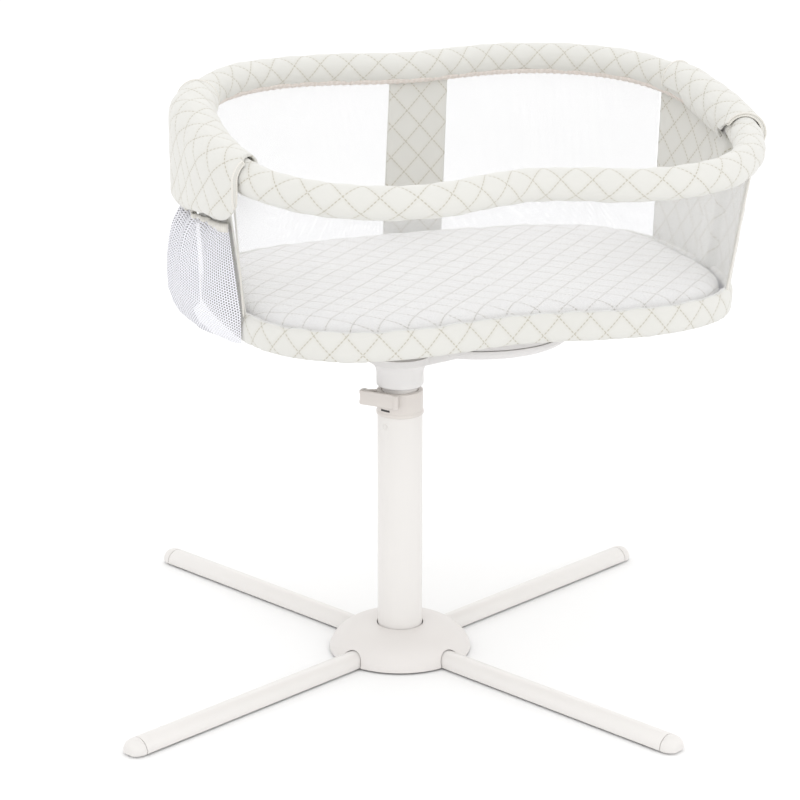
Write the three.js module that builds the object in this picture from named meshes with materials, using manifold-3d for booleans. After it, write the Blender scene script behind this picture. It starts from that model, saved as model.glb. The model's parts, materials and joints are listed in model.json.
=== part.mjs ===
// Bassinet on a swivelling pedestal stand, in millimetres, +Z up.
// The origin is on the floor, on the axis of the column. The legs point along the diagonals.
// The bed is built in its own group: +X along its length, -Y towards the wall that folds down.

import * as THREE from 'three';
import { mergeVertices } from 'three/addons/utils/BufferGeometryUtils.js';
import Module from 'manifold-3d';

const wasm = await Module();
wasm.setup();

const DEG = Math.PI / 180;

// ---------- clearances ----------
const GAP = 0.3; // between parts that touch
const RUN = 0.4; // round a part that slides or turns
const SHADOW = 1.2; // open joint left round the column and the legs at the hub cover

// ---------- column ----------
const COLUMN_RADIUS = 36;
const COLUMN_WALL = 2;
const COLUMN_TOP = 403.2;
const COLUMN_SEAT = 8; // floor to the bottom of the socket that holds the column
const TUBE_RADIUS = COLUMN_RADIUS - 7.5;
const TUBE_WALL = 2;
const TUBE_BOTTOM = 60;
const PLUG_DEPTH = 34;
const PLUG_FLANGE = 4;
const SWIVEL_BOLT_RADIUS = 5;
const SWIVEL_HEAD_HEIGHT = 5;

// ---------- stand ----------
const LEG_COUNT = 4;
const LEG_REACH = 578; // column axis to the tip of a leg
const LEG_WIDTH = 40;
const LEG_HEIGHT = 21;
const LEG_WALL = 2.5;
const CAP_LENGTH = 22;
const FOOT_HEIGHT = 3;
const FOOT_RADIUS = LEG_WIDTH * 0.225;
const FOOT_SETBACK = 15; // tip of a leg to the middle of its foot
const HUB_RADIUS = COLUMN_RADIUS + 79;
const HUB_HEIGHT = LEG_HEIGHT + 26;
const HUB_WALL = 3;
const PLATE_RADIUS = HUB_RADIUS - 13;
const PLATE_THICKNESS = 3;
const CORE_RADIUS = COLUMN_RADIUS + 24;
const CORE_HEIGHT = 30;
const LEG_START = CORE_RADIUS + 2; // column axis to the inner end of a leg
const SCREW_DISTANCE = CORE_RADIUS + 20;
const STUB_REACH = SCREW_DISTANCE + 24; // column axis to the end of a stub inside a leg
const STUB_CLEARANCE = 4; // between a stub's top and the leg over it
const SCREW_RADIUS = 3;
const SCREW_HEAD_RADIUS = 6.5;
const SCREW_HEAD_HEIGHT = 2.5;
const SCREW_DEPTH = 12;

// ---------- clamp ----------
const SPIGOT_DEPTH = 48.2; // how far the collar reaches down inside the column
const COLLAR_RADIUS = COLUMN_RADIUS + 0.9;
const COLLAR_TOP = COLUMN_TOP + 39.8;
const COLLAR_CHAMFER = 1.5;
const BEAD_RADIUS = COLUMN_RADIUS + 2;
const BEAD_HEIGHT = 6.5;
const SLIT = 3;
const LUG_HEIGHT = 9.4;
const LUG_THICKNESS = 9;
const LUG_REACH = COLUMN_RADIUS + 16; // column axis to the end of the far lug
const LEVER_MIDDLE = COLLAR_TOP - 10; // floor to the middle of the lever
const LEVER_HEIGHT = 23;
const LEVER_LENGTH = 64; // pin to the free end
const LEVER_THICKNESS = 4.5;
const LEVER_OFFSET = 5; // pin axis to the back of the lever plate
const LEVER_LIP = 1.6;
const LEVER_LIP_WIDTH = 6;
const LEVER_CLEARANCE = 1.57; // between the closed lever and the collar
const KNUCKLE_RADIUS = 4.6;
const PIN_X = -(COLUMN_RADIUS + 20.5);
const PIN_Y = -7.5;
const PIN_RADIUS = 2.2;
const LEVER_TANGENT = COLLAR_RADIUS + LEVER_CLEARANCE - LEVER_OFFSET; // column axis to the pin's line
const LEVER_SLANT = Math.atan2(PIN_Y, PIN_X) + Math.PI - Math.asin(LEVER_TANGENT / Math.hypot(PIN_X, PIN_Y));
const CLAMP_SCREW_X = -(COLUMN_RADIUS + 8.5);
const CLAMP_SCREW_RADIUS = 2.5;
const CLAMP_HEAD_RADIUS = 5;
const CLAMP_HEAD_HEIGHT = 4;
const PLUG_RADIUS = 6;
const PLUG_AZIMUTH = -131.8 * DEG;
const PLUG_HEIGHT = COLUMN_TOP - 16.2; // floor to the middle of the retaining plug
const PLUG_PROUD = 0.7;
const TUBE_TOP = COLLAR_TOP + 31;

// ---------- swivel arm and turntable ----------
const NECK_RADIUS = COLUMN_RADIUS + 1.5;
const NECK_BOTTOM = COLLAR_TOP + 5;
const NECK_CHAMFER = 4.5;
const ARM_REACH = 198.7; // column axis to turntable axis
const ARM_AZIMUTH = 50 * DEG;
const ARM_ROOT_RADIUS = COLUMN_RADIUS + 4;
const ARM_END_RADIUS = 84;
const ARM_PROUD = 4; // how far the arm stands out below the dish
const DISH_RADIUS = 154;
const DISH_BOTTOM = TUBE_TOP + 10;
const DISH_TOP = DISH_BOTTOM + 19;
const PARTING = 0.6; // open line between dish and turntable plate
const TURNTABLE_RADIUS = DISH_RADIUS - 2;
const TURNTABLE_RIM = 9;
const TURNTABLE_TOP_RADIUS = TURNTABLE_RADIUS - 34;
const BEARING_INNER = DISH_RADIUS - 93;
const BEARING_OUTER = DISH_RADIUS - 45;
const BEARING_SINK = 6; // depth of the bearing groove in each half
const BEARING_PLAY = 1; // round the bearing ring in its grooves
const CENTRE_BOLT_RADIUS = 6;
const BOLT_HEAD_RADIUS = 11;
const BOLT_HEAD_HEIGHT = 7;

// ---------- bed ----------
const BED_HALF_LENGTH = 414;
const BED_HALF_DEPTH = 309;
const BED_YAW = 18.6 * DEG;
const TURNTABLE_X = 12; // turntable axis in the bed's own frame
const TURNTABLE_Y = -24;
const BAND_BOTTOM = DISH_TOP + 35;
const BAND_HEIGHT = 47.5;
const BAND_WALL = 5;
const BAND_FLOOR = 2.7;
const BAND_LIP = 40;
const BOARD_THICKNESS = 7;
const FRAME_RADIUS = 5; // steel rod round the board
const MATTRESS_INSET = 17.3;
const MATTRESS_TOP = BAND_BOTTOM + 54;
const MATTRESS_ROUND = 8;
const BAR_RADIUS = 6; // steel rods inside the padded rims
const FOAM_PLAY = 2; // round a rod in its foam sleeve
const RIM_RADIUS = 25.5;
const END_FLARE = 21; // how far the rim stands out beyond the floor at each end
const SIDE_FLARE = 41;
const WAIST_X = -11;
const WAIST_SPREAD = BED_HALF_LENGTH * 0.372;

const FLOOR_OUTLINE = {
  halfLength: BED_HALF_LENGTH,
  halfDepth: BED_HALF_DEPTH,
  power: 3.4,
  frontWaist: 0.12,
  rearWaist: -0.015,
  shift: 0,
};
const RIM_OUTLINE = {
  halfLength: BED_HALF_LENGTH + END_FLARE,
  halfDepth: BED_HALF_DEPTH + SIDE_FLARE,
  power: 2.54,
  frontWaist: 0.222,
  rearWaist: 0.142,
  shift: -27,
};
const FRONT_RIM_HEIGHT = BAND_BOTTOM + 255; // floor to the rim's centre line at the front
const REAR_RIM_HEIGHT = BAND_BOTTOM + 346.5; // and at the rear

// ---------- bed walls ----------
const MESH_THICKNESS = 1.6;
const PANEL_THICKNESS = 3;
const WALL_CLEARANCE = 1; // between a wall's top edge and the padded rim
const WALL_SETBACK = 0.5; // a wall's outer face behind the band's outer face
const SEAM = 1.5; // between one wall and the next
const LEFT_PANEL_FRONT = BED_HALF_DEPTH * -0.39; // Y of the ends of the quilted end panels
const RIGHT_PANEL_FRONT = BED_HALF_DEPTH * -0.75;
const END_PANEL_REAR = BED_HALF_DEPTH * 0.453;
const END_PANEL_OFFSET = 5.5; // top edge of an end panel outside the rim's centre line
const CENTRE_PANEL_X = 19;
const CENTRE_PANEL_WIDTH = 108;
const POST_WIDTH = 36;
const POST_THICKNESS = 6;
const POST_INSET = 4; // rim's centre line to a post's head

// ---------- folding front wall ----------
const HINGE_Y = BED_HALF_DEPTH * -0.194;
const FOLD_ANGLE = 20 * DEG;
const FOLD_SPARE = 12 * DEG; // further slope of an end panel's top under the folded rim
const HINGE_PIN_RADIUS = 4;
const BRACKET_WIDTH = RIM_RADIUS * 1.333;
const BRACKET_HEIGHT = RIM_RADIUS * 1.49;
const BRACKET_HALF_LENGTH = 36;
const BRACKET_CHEEK = 3.7;
const SLOT_WIDTH = BRACKET_WIDTH - 2 * BRACKET_CHEEK;
const UNDER_BRACKET = 5; // between a bracket and the head of its post
const HINGE_KNUCKLE_RADIUS = BRACKET_HEIGHT / 2 - 6;
const HINGE_KNUCKLE_WIDTH = 12;
const SOCKET_START = HINGE_KNUCKLE_RADIUS + 5; // pin to the end of a rod in its socket
const SOCKET_DEPTH = 10;
const SOCKET_WALL = 2;
const SOCKET_CLEARANCE = 0.35; // round a curved rod at the far end of its straight socket
const PADDING_START = BRACKET_HALF_LENGTH + 10; // pin to the end of the front padding
const SPRING_RADIUS = 7;
const SPRING_WIRE = 0.9;
const SPRING_TURNS = 2.5;

// ---------- hinge pads ----------
const PAD_STEPS = 6; // facets of the channel over the rim
const PAD_RINGS = 32; // sections along a pad
const PAD_WRAP = 188 * DEG; // where the cover starts over the rim, measured from outside
const PAD_CHANNEL_END = -5 * DEG;
const PAD_CLEARANCE = RIM_RADIUS * 0.12; // between the rim and the flats of the channel
const PAD_CHANNEL = (RIM_RADIUS + PAD_CLEARANCE) / Math.cos((PAD_WRAP - PAD_CHANNEL_END) / PAD_STEPS / 2);
const PAD_SKIN = 4;
const PAD_BOTTOM = FRONT_RIM_HEIGHT - 58;
const PAD_HEM = 18; // how far a pad reaches below the rim at its rear end
const LEFT_PAD = {
  rear: BED_HALF_DEPTH * 0.485, // Y of the end on the rear rim
  taper: BED_HALF_DEPTH * 0.194, // Y where the outer flap starts to taper to the rear
  front: BED_HALF_DEPTH * -0.6, // Y of the front end
  recede: BED_HALF_DEPTH * -0.45, // Y where the cover over the rim's top starts to recede
  frontWrap: 60 * DEG, // where the cover starts at the front end
  out: PAD_CHANNEL + 12.6, // rim's centre line to the outer face
  rise: 32, // how far the lower edge rises to the front
};
const RIGHT_PAD = {
  rear: BED_HALF_DEPTH * 0.33,
  taper: BED_HALF_DEPTH * 0.1,
  front: BED_HALF_DEPTH * -0.46,
  recede: BED_HALF_DEPTH * -0.36,
  frontWrap: 150 * DEG,
  out: PAD_CHANNEL + 6,
  rise: 38,
};

// ---------- pocket ----------
const POCKET_FRONT = LEFT_PANEL_FRONT - 2;
const POCKET_REAR = BED_HALF_DEPTH * 0.414;
const POCKET_SKIN = 1.6;
const POCKET_GAP = 2.2;
const POCKET_NEAR = 1; // depth of the pocket's side seams
const POCKET_LEVELS = [ // height above the bottom of the band, and depth of the bag
  { rise: 2, depth: 24 },
  { rise: 22, depth: 54 },
  { rise: 62, depth: 69 },
  { rise: 112, depth: 62 },
  { rise: 162, depth: 44 },
  { rise: 190, depth: 23 },
];

// ---------- sampling ----------
const FINE_STEPS = 720; // samples from which evenly spaced points are picked
const WIDE_STEPS = 36; // facets of the widest turned parts
const ROUND_STEPS = 28; // facets of a large turned part
const SMALL_STEPS = 10; // facets of bolts, pins and their holes
const LOOP_POINTS = 56; // points round the bed
const RIM_STEPS = 32;
const RIM_SIDES = 8;
const BAR_SIDES = 6;
const WALL_ROWS = 3; // rows of facets up a wall

// ---------- finishes ----------
const FINISHES = {
  whiteMetal: { color: '#f1efec', roughness: 0.38, metalness: 0.1 },
  whitePlastic: { color: '#eeebe7', roughness: 0.45, metalness: 0 },
  greyPlastic: { color: '#dcd6cf', roughness: 0.4, metalness: 0 },
  steel: { color: '#9a9a98', roughness: 0.35, metalness: 0.9 },
  rubber: { color: '#4a4a48', roughness: 0.85, metalness: 0 },
  board: { color: '#c9b48e', roughness: 0.7, metalness: 0 },
  quilt: { color: '#e9e6dc', roughness: 0.9, metalness: 0 },
  mesh: { color: '#f7f6f6', roughness: 0.9, metalness: 0 },
};

// ---------- solids from points ----------

// Turns a list of points and triangles into a closed geometry whose faces point out.
function closedGeometry(points, triangles) {
  const cross = new THREE.Vector3();
  let volume = 0;
  for (const [a, b, c] of triangles) {
    volume += points[a].dot(cross.crossVectors(points[b], points[c]));
  }
  const facing = volume < 0 ? triangles.map(([a, b, c]) => [a, c, b]) : triangles;
  const geometry = new THREE.BufferGeometry().setFromPoints(points);
  geometry.setIndex(facing.flat());
  return geometry;
}

// Lays a flat ring of points out in two dimensions.
function flatten(ring) {
  const normal = new THREE.Vector3();
  const cross = new THREE.Vector3();
  for (let i = 0; i < ring.length; i += 1) {
    normal.add(cross.crossVectors(ring[i], ring[(i + 1) % ring.length]));
  }
  normal.normalize();
  const helper = Math.abs(normal.z) < 0.9 ? new THREE.Vector3(0, 0, 1) : new THREE.Vector3(1, 0, 0);
  const across = new THREE.Vector3().crossVectors(helper, normal).normalize();
  const up = new THREE.Vector3().crossVectors(normal, across);
  return ring.map((point) => new THREE.Vector2(point.dot(across), point.dot(up)));
}

// Joins rings with the same number of points. A closed loft runs back to its first ring.
function loft(rings, closed = false) {
  const size = rings[0].length;
  const triangles = [];
  const bands = closed ? rings.length : rings.length - 1;
  for (let k = 0; k < bands; k += 1) {
    const from = k * size;
    const to = ((k + 1) % rings.length) * size;
    for (let i = 0; i < size; i += 1) {
      const j = (i + 1) % size;
      triangles.push([from + i, to + i, to + j]);
      triangles.push([from + i, to + j, from + j]);
    }
  }
  if (!closed) {
    const last = (rings.length - 1) * size;
    for (const [a, b, c] of THREE.ShapeUtils.triangulateShape(flatten(rings[0]), [])) {
      triangles.push([a, b, c]);
    }
    for (const [a, b, c] of THREE.ShapeUtils.triangulateShape(flatten(rings.at(-1)), [])) {
      triangles.push([last + a, last + c, last + b]);
    }
  }
  return closedGeometry(rings.flat(), triangles);
}

// A tube with a wall: the outer rings forwards, then the inner rings backwards.
function sleeve(outer, inner) {
  return loft([...outer, ...[...inner].reverse()], true);
}

function merged(geometry) {
  const bare = geometry.clone();
  bare.deleteAttribute('normal');
  bare.deleteAttribute('uv');
  return mergeVertices(bare, 1e-4);
}

// The same geometry with shared vertices merged and its faces turned to point out.
function facingOut(geometry) {
  const source = merged(geometry);
  const points = [];
  for (let i = 0; i < source.attributes.position.count; i += 1) {
    points.push(new THREE.Vector3().fromBufferAttribute(source.attributes.position, i));
  }
  const corners = source.index.array;
  const triangles = [];
  for (let i = 0; i < corners.length; i += 3) {
    const [a, b, c] = [corners[i], corners[i + 1], corners[i + 2]];
    if (a !== b && b !== c && c !== a) {
      triangles.push([a, b, c]);
    }
  }
  return closedGeometry(points, triangles);
}

function toSolid(geometry) {
  const source = merged(geometry);
  const vertProperties = new Float32Array(source.attributes.position.array);
  const triVerts = new Uint32Array(source.index.array);
  return new wasm.Manifold(new wasm.Mesh({ numProp: 3, vertProperties, triVerts }));
}

function fromSolid(solid) {
  const mesh = solid.getMesh();
  const geometry = new THREE.BufferGeometry();
  geometry.setAttribute('position', new THREE.BufferAttribute(mesh.vertProperties, 3));
  geometry.setIndex(new THREE.BufferAttribute(mesh.triVerts, 1));
  return geometry;
}

// Joins the bodies, then cuts every tool out of them.
function carve(bodies, tools = []) {
  let solid = toSolid(bodies[0]);
  for (const body of bodies.slice(1)) {
    solid = solid.add(toSolid(body));
  }
  for (const tool of tools) {
    solid = solid.subtract(toSolid(tool));
  }
  return fromSolid(solid);
}

// ---------- plain shapes ----------

// A turned solid or ring about Z from [radius, height] pairs.
function turned(profile, steps = ROUND_STEPS) {
  const points = profile.map(([radius, height]) => new THREE.Vector2(radius, height));
  if (profile[0][0] > 0) {
    points.push(points[0].clone());
  }
  return facingOut(new THREE.LatheGeometry(points, steps)).rotateX(Math.PI / 2);
}

function disc(radius, bottom, top, steps = ROUND_STEPS) {
  return turned([[0, bottom], [radius, bottom], [radius, top], [0, top]], steps);
}

function ring(inner, outer, bottom, top, steps = ROUND_STEPS) {
  return turned([[inner, bottom], [outer, bottom], [outer, top], [inner, top]], steps);
}

// Radius of a faceted hole that clears a rod of the given radius all round.
function holeRadius(radius, clearance = GAP) {
  return (radius + clearance) / Math.cos(Math.PI / SMALL_STEPS);
}

// A rod along X between two positions on the X axis.
function rodAlongX(radius, from, to, steps = SMALL_STEPS) {
  return disc(radius, from, to, steps).rotateY(Math.PI / 2);
}

// A rod along Y between two positions on the Y axis.
function rodAlongY(radius, from, to, steps = SMALL_STEPS) {
  return disc(radius, from, to, steps).rotateX(-Math.PI / 2);
}

function block(low, high) {
  const size = high.map((value, i) => value - low[i]);
  const middle = high.map((value, i) => (value + low[i]) / 2);
  return new THREE.BoxGeometry(...size).translate(...middle);
}

// An outline in plan, raised between two heights.
function raised(outline, bottom, top) {
  const shape = new THREE.Shape(outline);
  const depth = top - bottom;
  const geometry = new THREE.ExtrudeGeometry(shape, { depth, bevelEnabled: false, curveSegments: 8 });
  return geometry.translate(0, 0, bottom);
}

// ---------- bed outline ----------

// A rounded rectangle with a waist: its point at an angle round the bed.
function outlinePoint(outline, angle) {
  const cos = Math.cos(angle);
  const sin = Math.sin(angle);
  const bend = 2 / outline.power;
  const x = outline.halfLength * Math.sign(cos) * Math.abs(cos) ** bend;
  const y = outline.halfDepth * Math.sign(sin) * Math.abs(sin) ** bend;
  const waist = sin < 0 ? outline.frontWaist : outline.rearWaist;
  const narrowing = waist * Math.exp(-(((x - WAIST_X) / WAIST_SPREAD) ** 2));
  return new THREE.Vector3(x, y * (1 - narrowing) + outline.shift, 0);
}

// The angle at which an outline's end reaches a Y, on the side +1 (right) or -1 (left).
function angleAtY(outline, y, side) {
  const reach = (y - outline.shift) / outline.halfDepth;
  const angle = Math.asin(Math.sign(reach) * Math.abs(reach) ** (outline.power / 2));
  return side > 0 ? angle : Math.PI - angle;
}

// The angle at which an outline's rear reaches an X.
function angleAtX(outline, x) {
  const reach = x / outline.halfLength;
  return Math.acos(Math.sign(reach) * Math.abs(reach) ** (outline.power / 2));
}

// The height of the rim's centre line over a point of the rim outline.
function rimHeight(y) {
  const half = RIM_OUTLINE.halfDepth;
  const share = THREE.MathUtils.smoothstep(y - RIM_OUTLINE.shift, -half, half);
  return THREE.MathUtils.lerp(FRONT_RIM_HEIGHT, REAR_RIM_HEIGHT, share);
}

function rimPoint(angle) {
  const point = outlinePoint(RIM_OUTLINE, angle);
  point.z = rimHeight(point.y);
  return point;
}

function floorPoint(angle) {
  return outlinePoint(FLOOR_OUTLINE, angle);
}

// Evenly spaced points along part of a curve given by angle.
function evenPoints(curve, from, to, count) {
  const fine = FINE_STEPS;
  const samples = [];
  for (let i = 0; i <= fine; i += 1) {
    samples.push(curve(from + ((to - from) * i) / fine));
  }
  const travelled = [0];
  for (let i = 1; i <= fine; i += 1) {
    travelled.push(travelled[i - 1] + samples[i].distanceTo(samples[i - 1]));
  }
  const points = [];
  let k = 0;
  for (let i = 0; i <= count; i += 1) {
    const target = (travelled[fine] * i) / count;
    while (k < fine - 1 && travelled[k + 1] < target) {
      k += 1;
    }
    const share = (target - travelled[k]) / (travelled[k + 1] - travelled[k]);
    points.push(samples[k].clone().lerp(samples[k + 1], share));
  }
  return points;
}

// Sideways directions at each point of a path that runs anticlockwise in plan.
function outwardNormals(points, closed) {
  const last = points.length - 1;
  return points.map((point, i) => {
    const before = points[closed ? (i + last) % points.length : Math.max(i - 1, 0)];
    const after = points[closed ? (i + 1) % points.length : Math.min(i + 1, last)];
    return new THREE.Vector3(after.y - before.y, before.x - after.x, 0).normalize();
  });
}

// The bed's floor outline as a closed loop, moved inwards and set at a height.
function floorLoop(inset, height, count = LOOP_POINTS) {
  const points = evenPoints(floorPoint, 0, 2 * Math.PI, count).slice(0, count);
  const normals = outwardNormals(points, true);
  return points.map((point, i) => point.clone().addScaledVector(normals[i], -inset).setZ(height));
}

// Circular rings square to a path.
function tubeRings(points, radius, sides) {
  const normals = outwardNormals(points, false);
  return points.map((point, i) => {
    const before = points[Math.max(i - 1, 0)];
    const after = points[Math.min(i + 1, points.length - 1)];
    const tangent = new THREE.Vector3().subVectors(after, before).normalize();
    const up = new THREE.Vector3().crossVectors(normals[i], tangent).normalize();
    const ringPoints = [];
    for (let k = 0; k < sides; k += 1) {
      const turn = (2 * Math.PI * (k + 0.5)) / sides;
      const spot = point.clone().addScaledVector(normals[i], radius * Math.cos(turn));
      ringPoints.push(spot.addScaledVector(up, radius * Math.sin(turn)));
    }
    return ringPoints;
  });
}

// ---------- stand ----------

// Half-round profile of a leg, open at the bottom where it is a channel.
function legOutline(halfWidth, height) {
  const shape = new THREE.Shape();
  const side = height * 0.15;
  shape.moveTo(-halfWidth, 0);
  shape.lineTo(halfWidth, 0);
  shape.lineTo(halfWidth, side);
  shape.absellipse(0, side, halfWidth, height - side, 0, Math.PI, false);
  return shape.getPoints(5);
}

function legChannel() {
  const outer = legOutline(LEG_WIDTH / 2, LEG_HEIGHT);
  const inner = legOutline(LEG_WIDTH / 2 - LEG_WALL, LEG_HEIGHT - LEG_WALL);
  const section = [...outer.slice(1), outer[0], inner[0], ...inner.slice(1).reverse()];
  const length = LEG_REACH - CAP_LENGTH - LEG_START;
  const shape = new THREE.Shape(section);
  const channel = new THREE.ExtrudeGeometry(shape, { depth: length, bevelEnabled: false });
  channel.rotateX(Math.PI / 2).rotateZ(Math.PI / 2);
  channel.translate(LEG_START, 0, PLATE_THICKNESS + GAP);
  const hole = disc(holeRadius(SCREW_RADIUS), 0, HUB_HEIGHT, SMALL_STEPS).translate(SCREW_DISTANCE, 0, 0);
  return carve([channel], [hole]);
}

function legCap() {
  const start = LEG_REACH - CAP_LENGTH + GAP;
  const length = LEG_REACH - start;
  const shares = [0, 0.35, 0.65, 0.87, 1];
  const rings = shares.map((share) => {
    const round = Math.sqrt(1 - (share * 0.93) ** 2.6);
    const outline = legOutline((LEG_WIDTH / 2) * round, LEG_HEIGHT * (0.35 + 0.65 * round));
    return outline.map((p) => new THREE.Vector3(start + length * share, p.x, p.y + PLATE_THICKNESS + GAP));
  });
  return loft(rings);
}

function footPad() {
  return disc(FOOT_RADIUS, 0, FOOT_HEIGHT, SMALL_STEPS).translate(LEG_REACH - FOOT_SETBACK, 0, 0);
}

function stubSize() {
  return { half: LEG_WIDTH / 4, top: PLATE_THICKNESS + GAP + LEG_HEIGHT - LEG_WALL - STUB_CLEARANCE };
}

function hubCore() {
  const bottom = PLATE_THICKNESS + GAP;
  const { half, top } = stubSize();
  const bodies = [disc(CORE_RADIUS, bottom, CORE_HEIGHT)];
  const tools = [disc(COLUMN_RADIUS + GAP, COLUMN_SEAT, CORE_HEIGHT + 1)];
  for (let i = 0; i < LEG_COUNT; i += 1) {
    const azimuth = (i + 0.5) * ((2 * Math.PI) / LEG_COUNT);
    bodies.push(block([CORE_RADIUS - 15, -half, bottom], [STUB_REACH, half, top]).rotateZ(azimuth));
    const hole = disc(holeRadius(SCREW_RADIUS), top - SCREW_DEPTH, top + 1, SMALL_STEPS);
    tools.push(hole.translate(SCREW_DISTANCE, 0, 0).rotateZ(azimuth));
  }
  return carve(bodies, tools);
}

function legScrew() {
  const seat = PLATE_THICKNESS + GAP + LEG_HEIGHT + GAP;
  const bottom = stubSize().top - SCREW_DEPTH + 1;
  return turned([
    [0, bottom], [SCREW_RADIUS, bottom], [SCREW_RADIUS, seat], [SCREW_HEAD_RADIUS, seat],
    [SCREW_HEAD_RADIUS, seat + SCREW_HEAD_HEIGHT], [0, seat + SCREW_HEAD_HEIGHT],
  ], SMALL_STEPS).translate(SCREW_DISTANCE, 0, 0);
}

// Height of the hub cover's outside over a radius: a shallow dome with a steep edge.
function domeHeight(share) {
  return HUB_HEIGHT * (1 - share ** 2.6) ** 0.62;
}

function hubCover() {
  const inner = COLUMN_RADIUS + SHADOW;
  const bottom = PLATE_THICKNESS + GAP;
  const outside = [];
  const inside = [];
  const steps = 6;
  for (let i = 0; i <= steps; i += 1) {
    const share = Math.sin((i / steps) * (Math.PI / 2));
    const radius = inner + (HUB_RADIUS - inner) * share;
    const height = Math.max(domeHeight((radius - inner) / (HUB_RADIUS - inner)), bottom);
    outside.push([radius, height]);
    const under = Math.max(height - HUB_WALL * (1 + share), bottom);
    inside.push([Math.max(radius - HUB_WALL * share, inner), i === steps ? bottom : under]);
  }
  const shell = turned([...outside, ...inside.reverse()], WIDE_STEPS);
  const arch = legOutline(LEG_WIDTH / 2 + SHADOW, LEG_HEIGHT + SHADOW);
  const tools = [];
  for (let i = 0; i < LEG_COUNT; i += 1) {
    const azimuth = (i + 0.5) * ((2 * Math.PI) / LEG_COUNT);
    const shape = new THREE.Shape(arch);
    const cutter = new THREE.ExtrudeGeometry(shape, { depth: HUB_RADIUS, bevelEnabled: false });
    cutter.rotateX(Math.PI / 2).rotateZ(Math.PI / 2).translate(CORE_RADIUS, 0, bottom - 0.1);
    tools.push(cutter.rotateZ(azimuth));
    const headTop = bottom + LEG_HEIGHT + SCREW_HEAD_HEIGHT + 2;
    const headRoom = disc(SCREW_HEAD_RADIUS + 1, bottom, headTop, SMALL_STEPS);
    tools.push(headRoom.translate(SCREW_DISTANCE, 0, 0).rotateZ(azimuth));
  }
  return carve([shell], tools);
}

function basePlate() {
  return disc(PLATE_RADIUS, 0, PLATE_THICKNESS);
}

// ---------- column and clamp ----------

// A short rod square to the column at the retaining plug's place.
function plugRod(radius, from, to) {
  const rod = rodAlongX(radius, from, to, SMALL_STEPS);
  return rod.translate(0, 0, PLUG_HEIGHT).applyMatrix4(new THREE.Matrix4().makeRotationZ(PLUG_AZIMUTH));
}

function outerColumn() {
  const tube = ring(COLUMN_RADIUS - COLUMN_WALL, COLUMN_RADIUS, COLUMN_SEAT + GAP, COLUMN_TOP);
  return carve([tube], [plugRod(holeRadius(PLUG_RADIUS), COLUMN_RADIUS - 8, COLUMN_RADIUS + 5)]);
}

function retainingPlug() {
  return plugRod(PLUG_RADIUS, TUBE_RADIUS + 2, COLUMN_RADIUS + PLUG_PROUD);
}

function clampCollar() {
  const bore = TUBE_RADIUS + RUN;
  const spigot = COLUMN_RADIUS - COLUMN_WALL - GAP;
  const spigotBottom = COLUMN_TOP - SPIGOT_DEPTH;
  const beadBottom = COLUMN_TOP + GAP;
  const beadTop = beadBottom + BEAD_HEIGHT;
  const chamfer = COLLAR_CHAMFER;
  const body = turned([
    [bore, spigotBottom], [spigot, spigotBottom], [spigot, beadBottom], [BEAD_RADIUS - chamfer / 2, beadBottom],
    [BEAD_RADIUS, beadBottom + chamfer], [BEAD_RADIUS, beadTop - chamfer], [COLLAR_RADIUS, beadTop],
    [COLLAR_RADIUS, COLLAR_TOP - chamfer], [COLLAR_RADIUS - chamfer, COLLAR_TOP],
    [bore + chamfer, COLLAR_TOP], [bore, COLLAR_TOP - chamfer],
  ]);
  const low = LEVER_MIDDLE - LUG_HEIGHT / 2;
  const high = LEVER_MIDDLE + LUG_HEIGHT / 2;
  const root = -COLLAR_RADIUS + 4;
  const nearLug = block([PIN_X, PIN_Y - KNUCKLE_RADIUS, low], [root, -SLIT / 2, high]);
  const farLug = block([-LUG_REACH, SLIT / 2, low - 2], [root, SLIT / 2 + LUG_THICKNESS, high + 2]);
  const knuckle = disc(KNUCKLE_RADIUS, low, high, SMALL_STEPS).translate(PIN_X, PIN_Y, 0);
  const slit = block([-COLLAR_RADIUS - 2, -SLIT / 2, beadTop], [-bore + 2, SLIT / 2, COLLAR_TOP + 1]);
  const pinHole = disc(holeRadius(PIN_RADIUS), low - 1, high + 1, SMALL_STEPS).translate(PIN_X, PIN_Y, 0);
  const screwHole = rodAlongY(holeRadius(CLAMP_SCREW_RADIUS), PIN_Y - 2, SLIT / 2 + LUG_THICKNESS + 1);
  screwHole.translate(CLAMP_SCREW_X, 0, LEVER_MIDDLE);
  const plugHole = plugRod(holeRadius(PLUG_RADIUS), bore - 2, COLUMN_RADIUS);
  return carve([body, nearLug, farLug, knuckle], [slit, pinHole, screwHole, plugHole]);
}

function clampScrew() {
  const face = SLIT / 2 + LUG_THICKNESS + GAP;
  const screw = turned([
    [0, PIN_Y], [CLAMP_SCREW_RADIUS, PIN_Y], [CLAMP_SCREW_RADIUS, face], [CLAMP_HEAD_RADIUS, face],
    [CLAMP_HEAD_RADIUS, face + CLAMP_HEAD_HEIGHT], [0, face + CLAMP_HEAD_HEIGHT],
  ], SMALL_STEPS);
  return screw.rotateX(-Math.PI / 2).translate(CLAMP_SCREW_X, 0, LEVER_MIDDLE);
}

function leverPin() {
  const low = LEVER_MIDDLE - LEVER_HEIGHT / 2;
  return disc(PIN_RADIUS, low - 1, low + LEVER_HEIGHT + 1, SMALL_STEPS).translate(PIN_X, PIN_Y, 0);
}

// Plan outline of the lever plate, with its pin at the origin and its length along +X.
function leverPlate() {
  const back = -LEVER_OFFSET;
  const face = back - LEVER_THICKNESS;
  const lipStart = LEVER_LENGTH - LEVER_LIP_WIDTH;
  return [
    [-3.5, back], [LEVER_LENGTH, back], [LEVER_LENGTH, face - LEVER_LIP], [lipStart, face - LEVER_LIP],
    [lipStart - 1, face], [-1, face], [-4, face + 1.2],
  ].map(([x, y]) => new THREE.Vector2(x, y));
}

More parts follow.
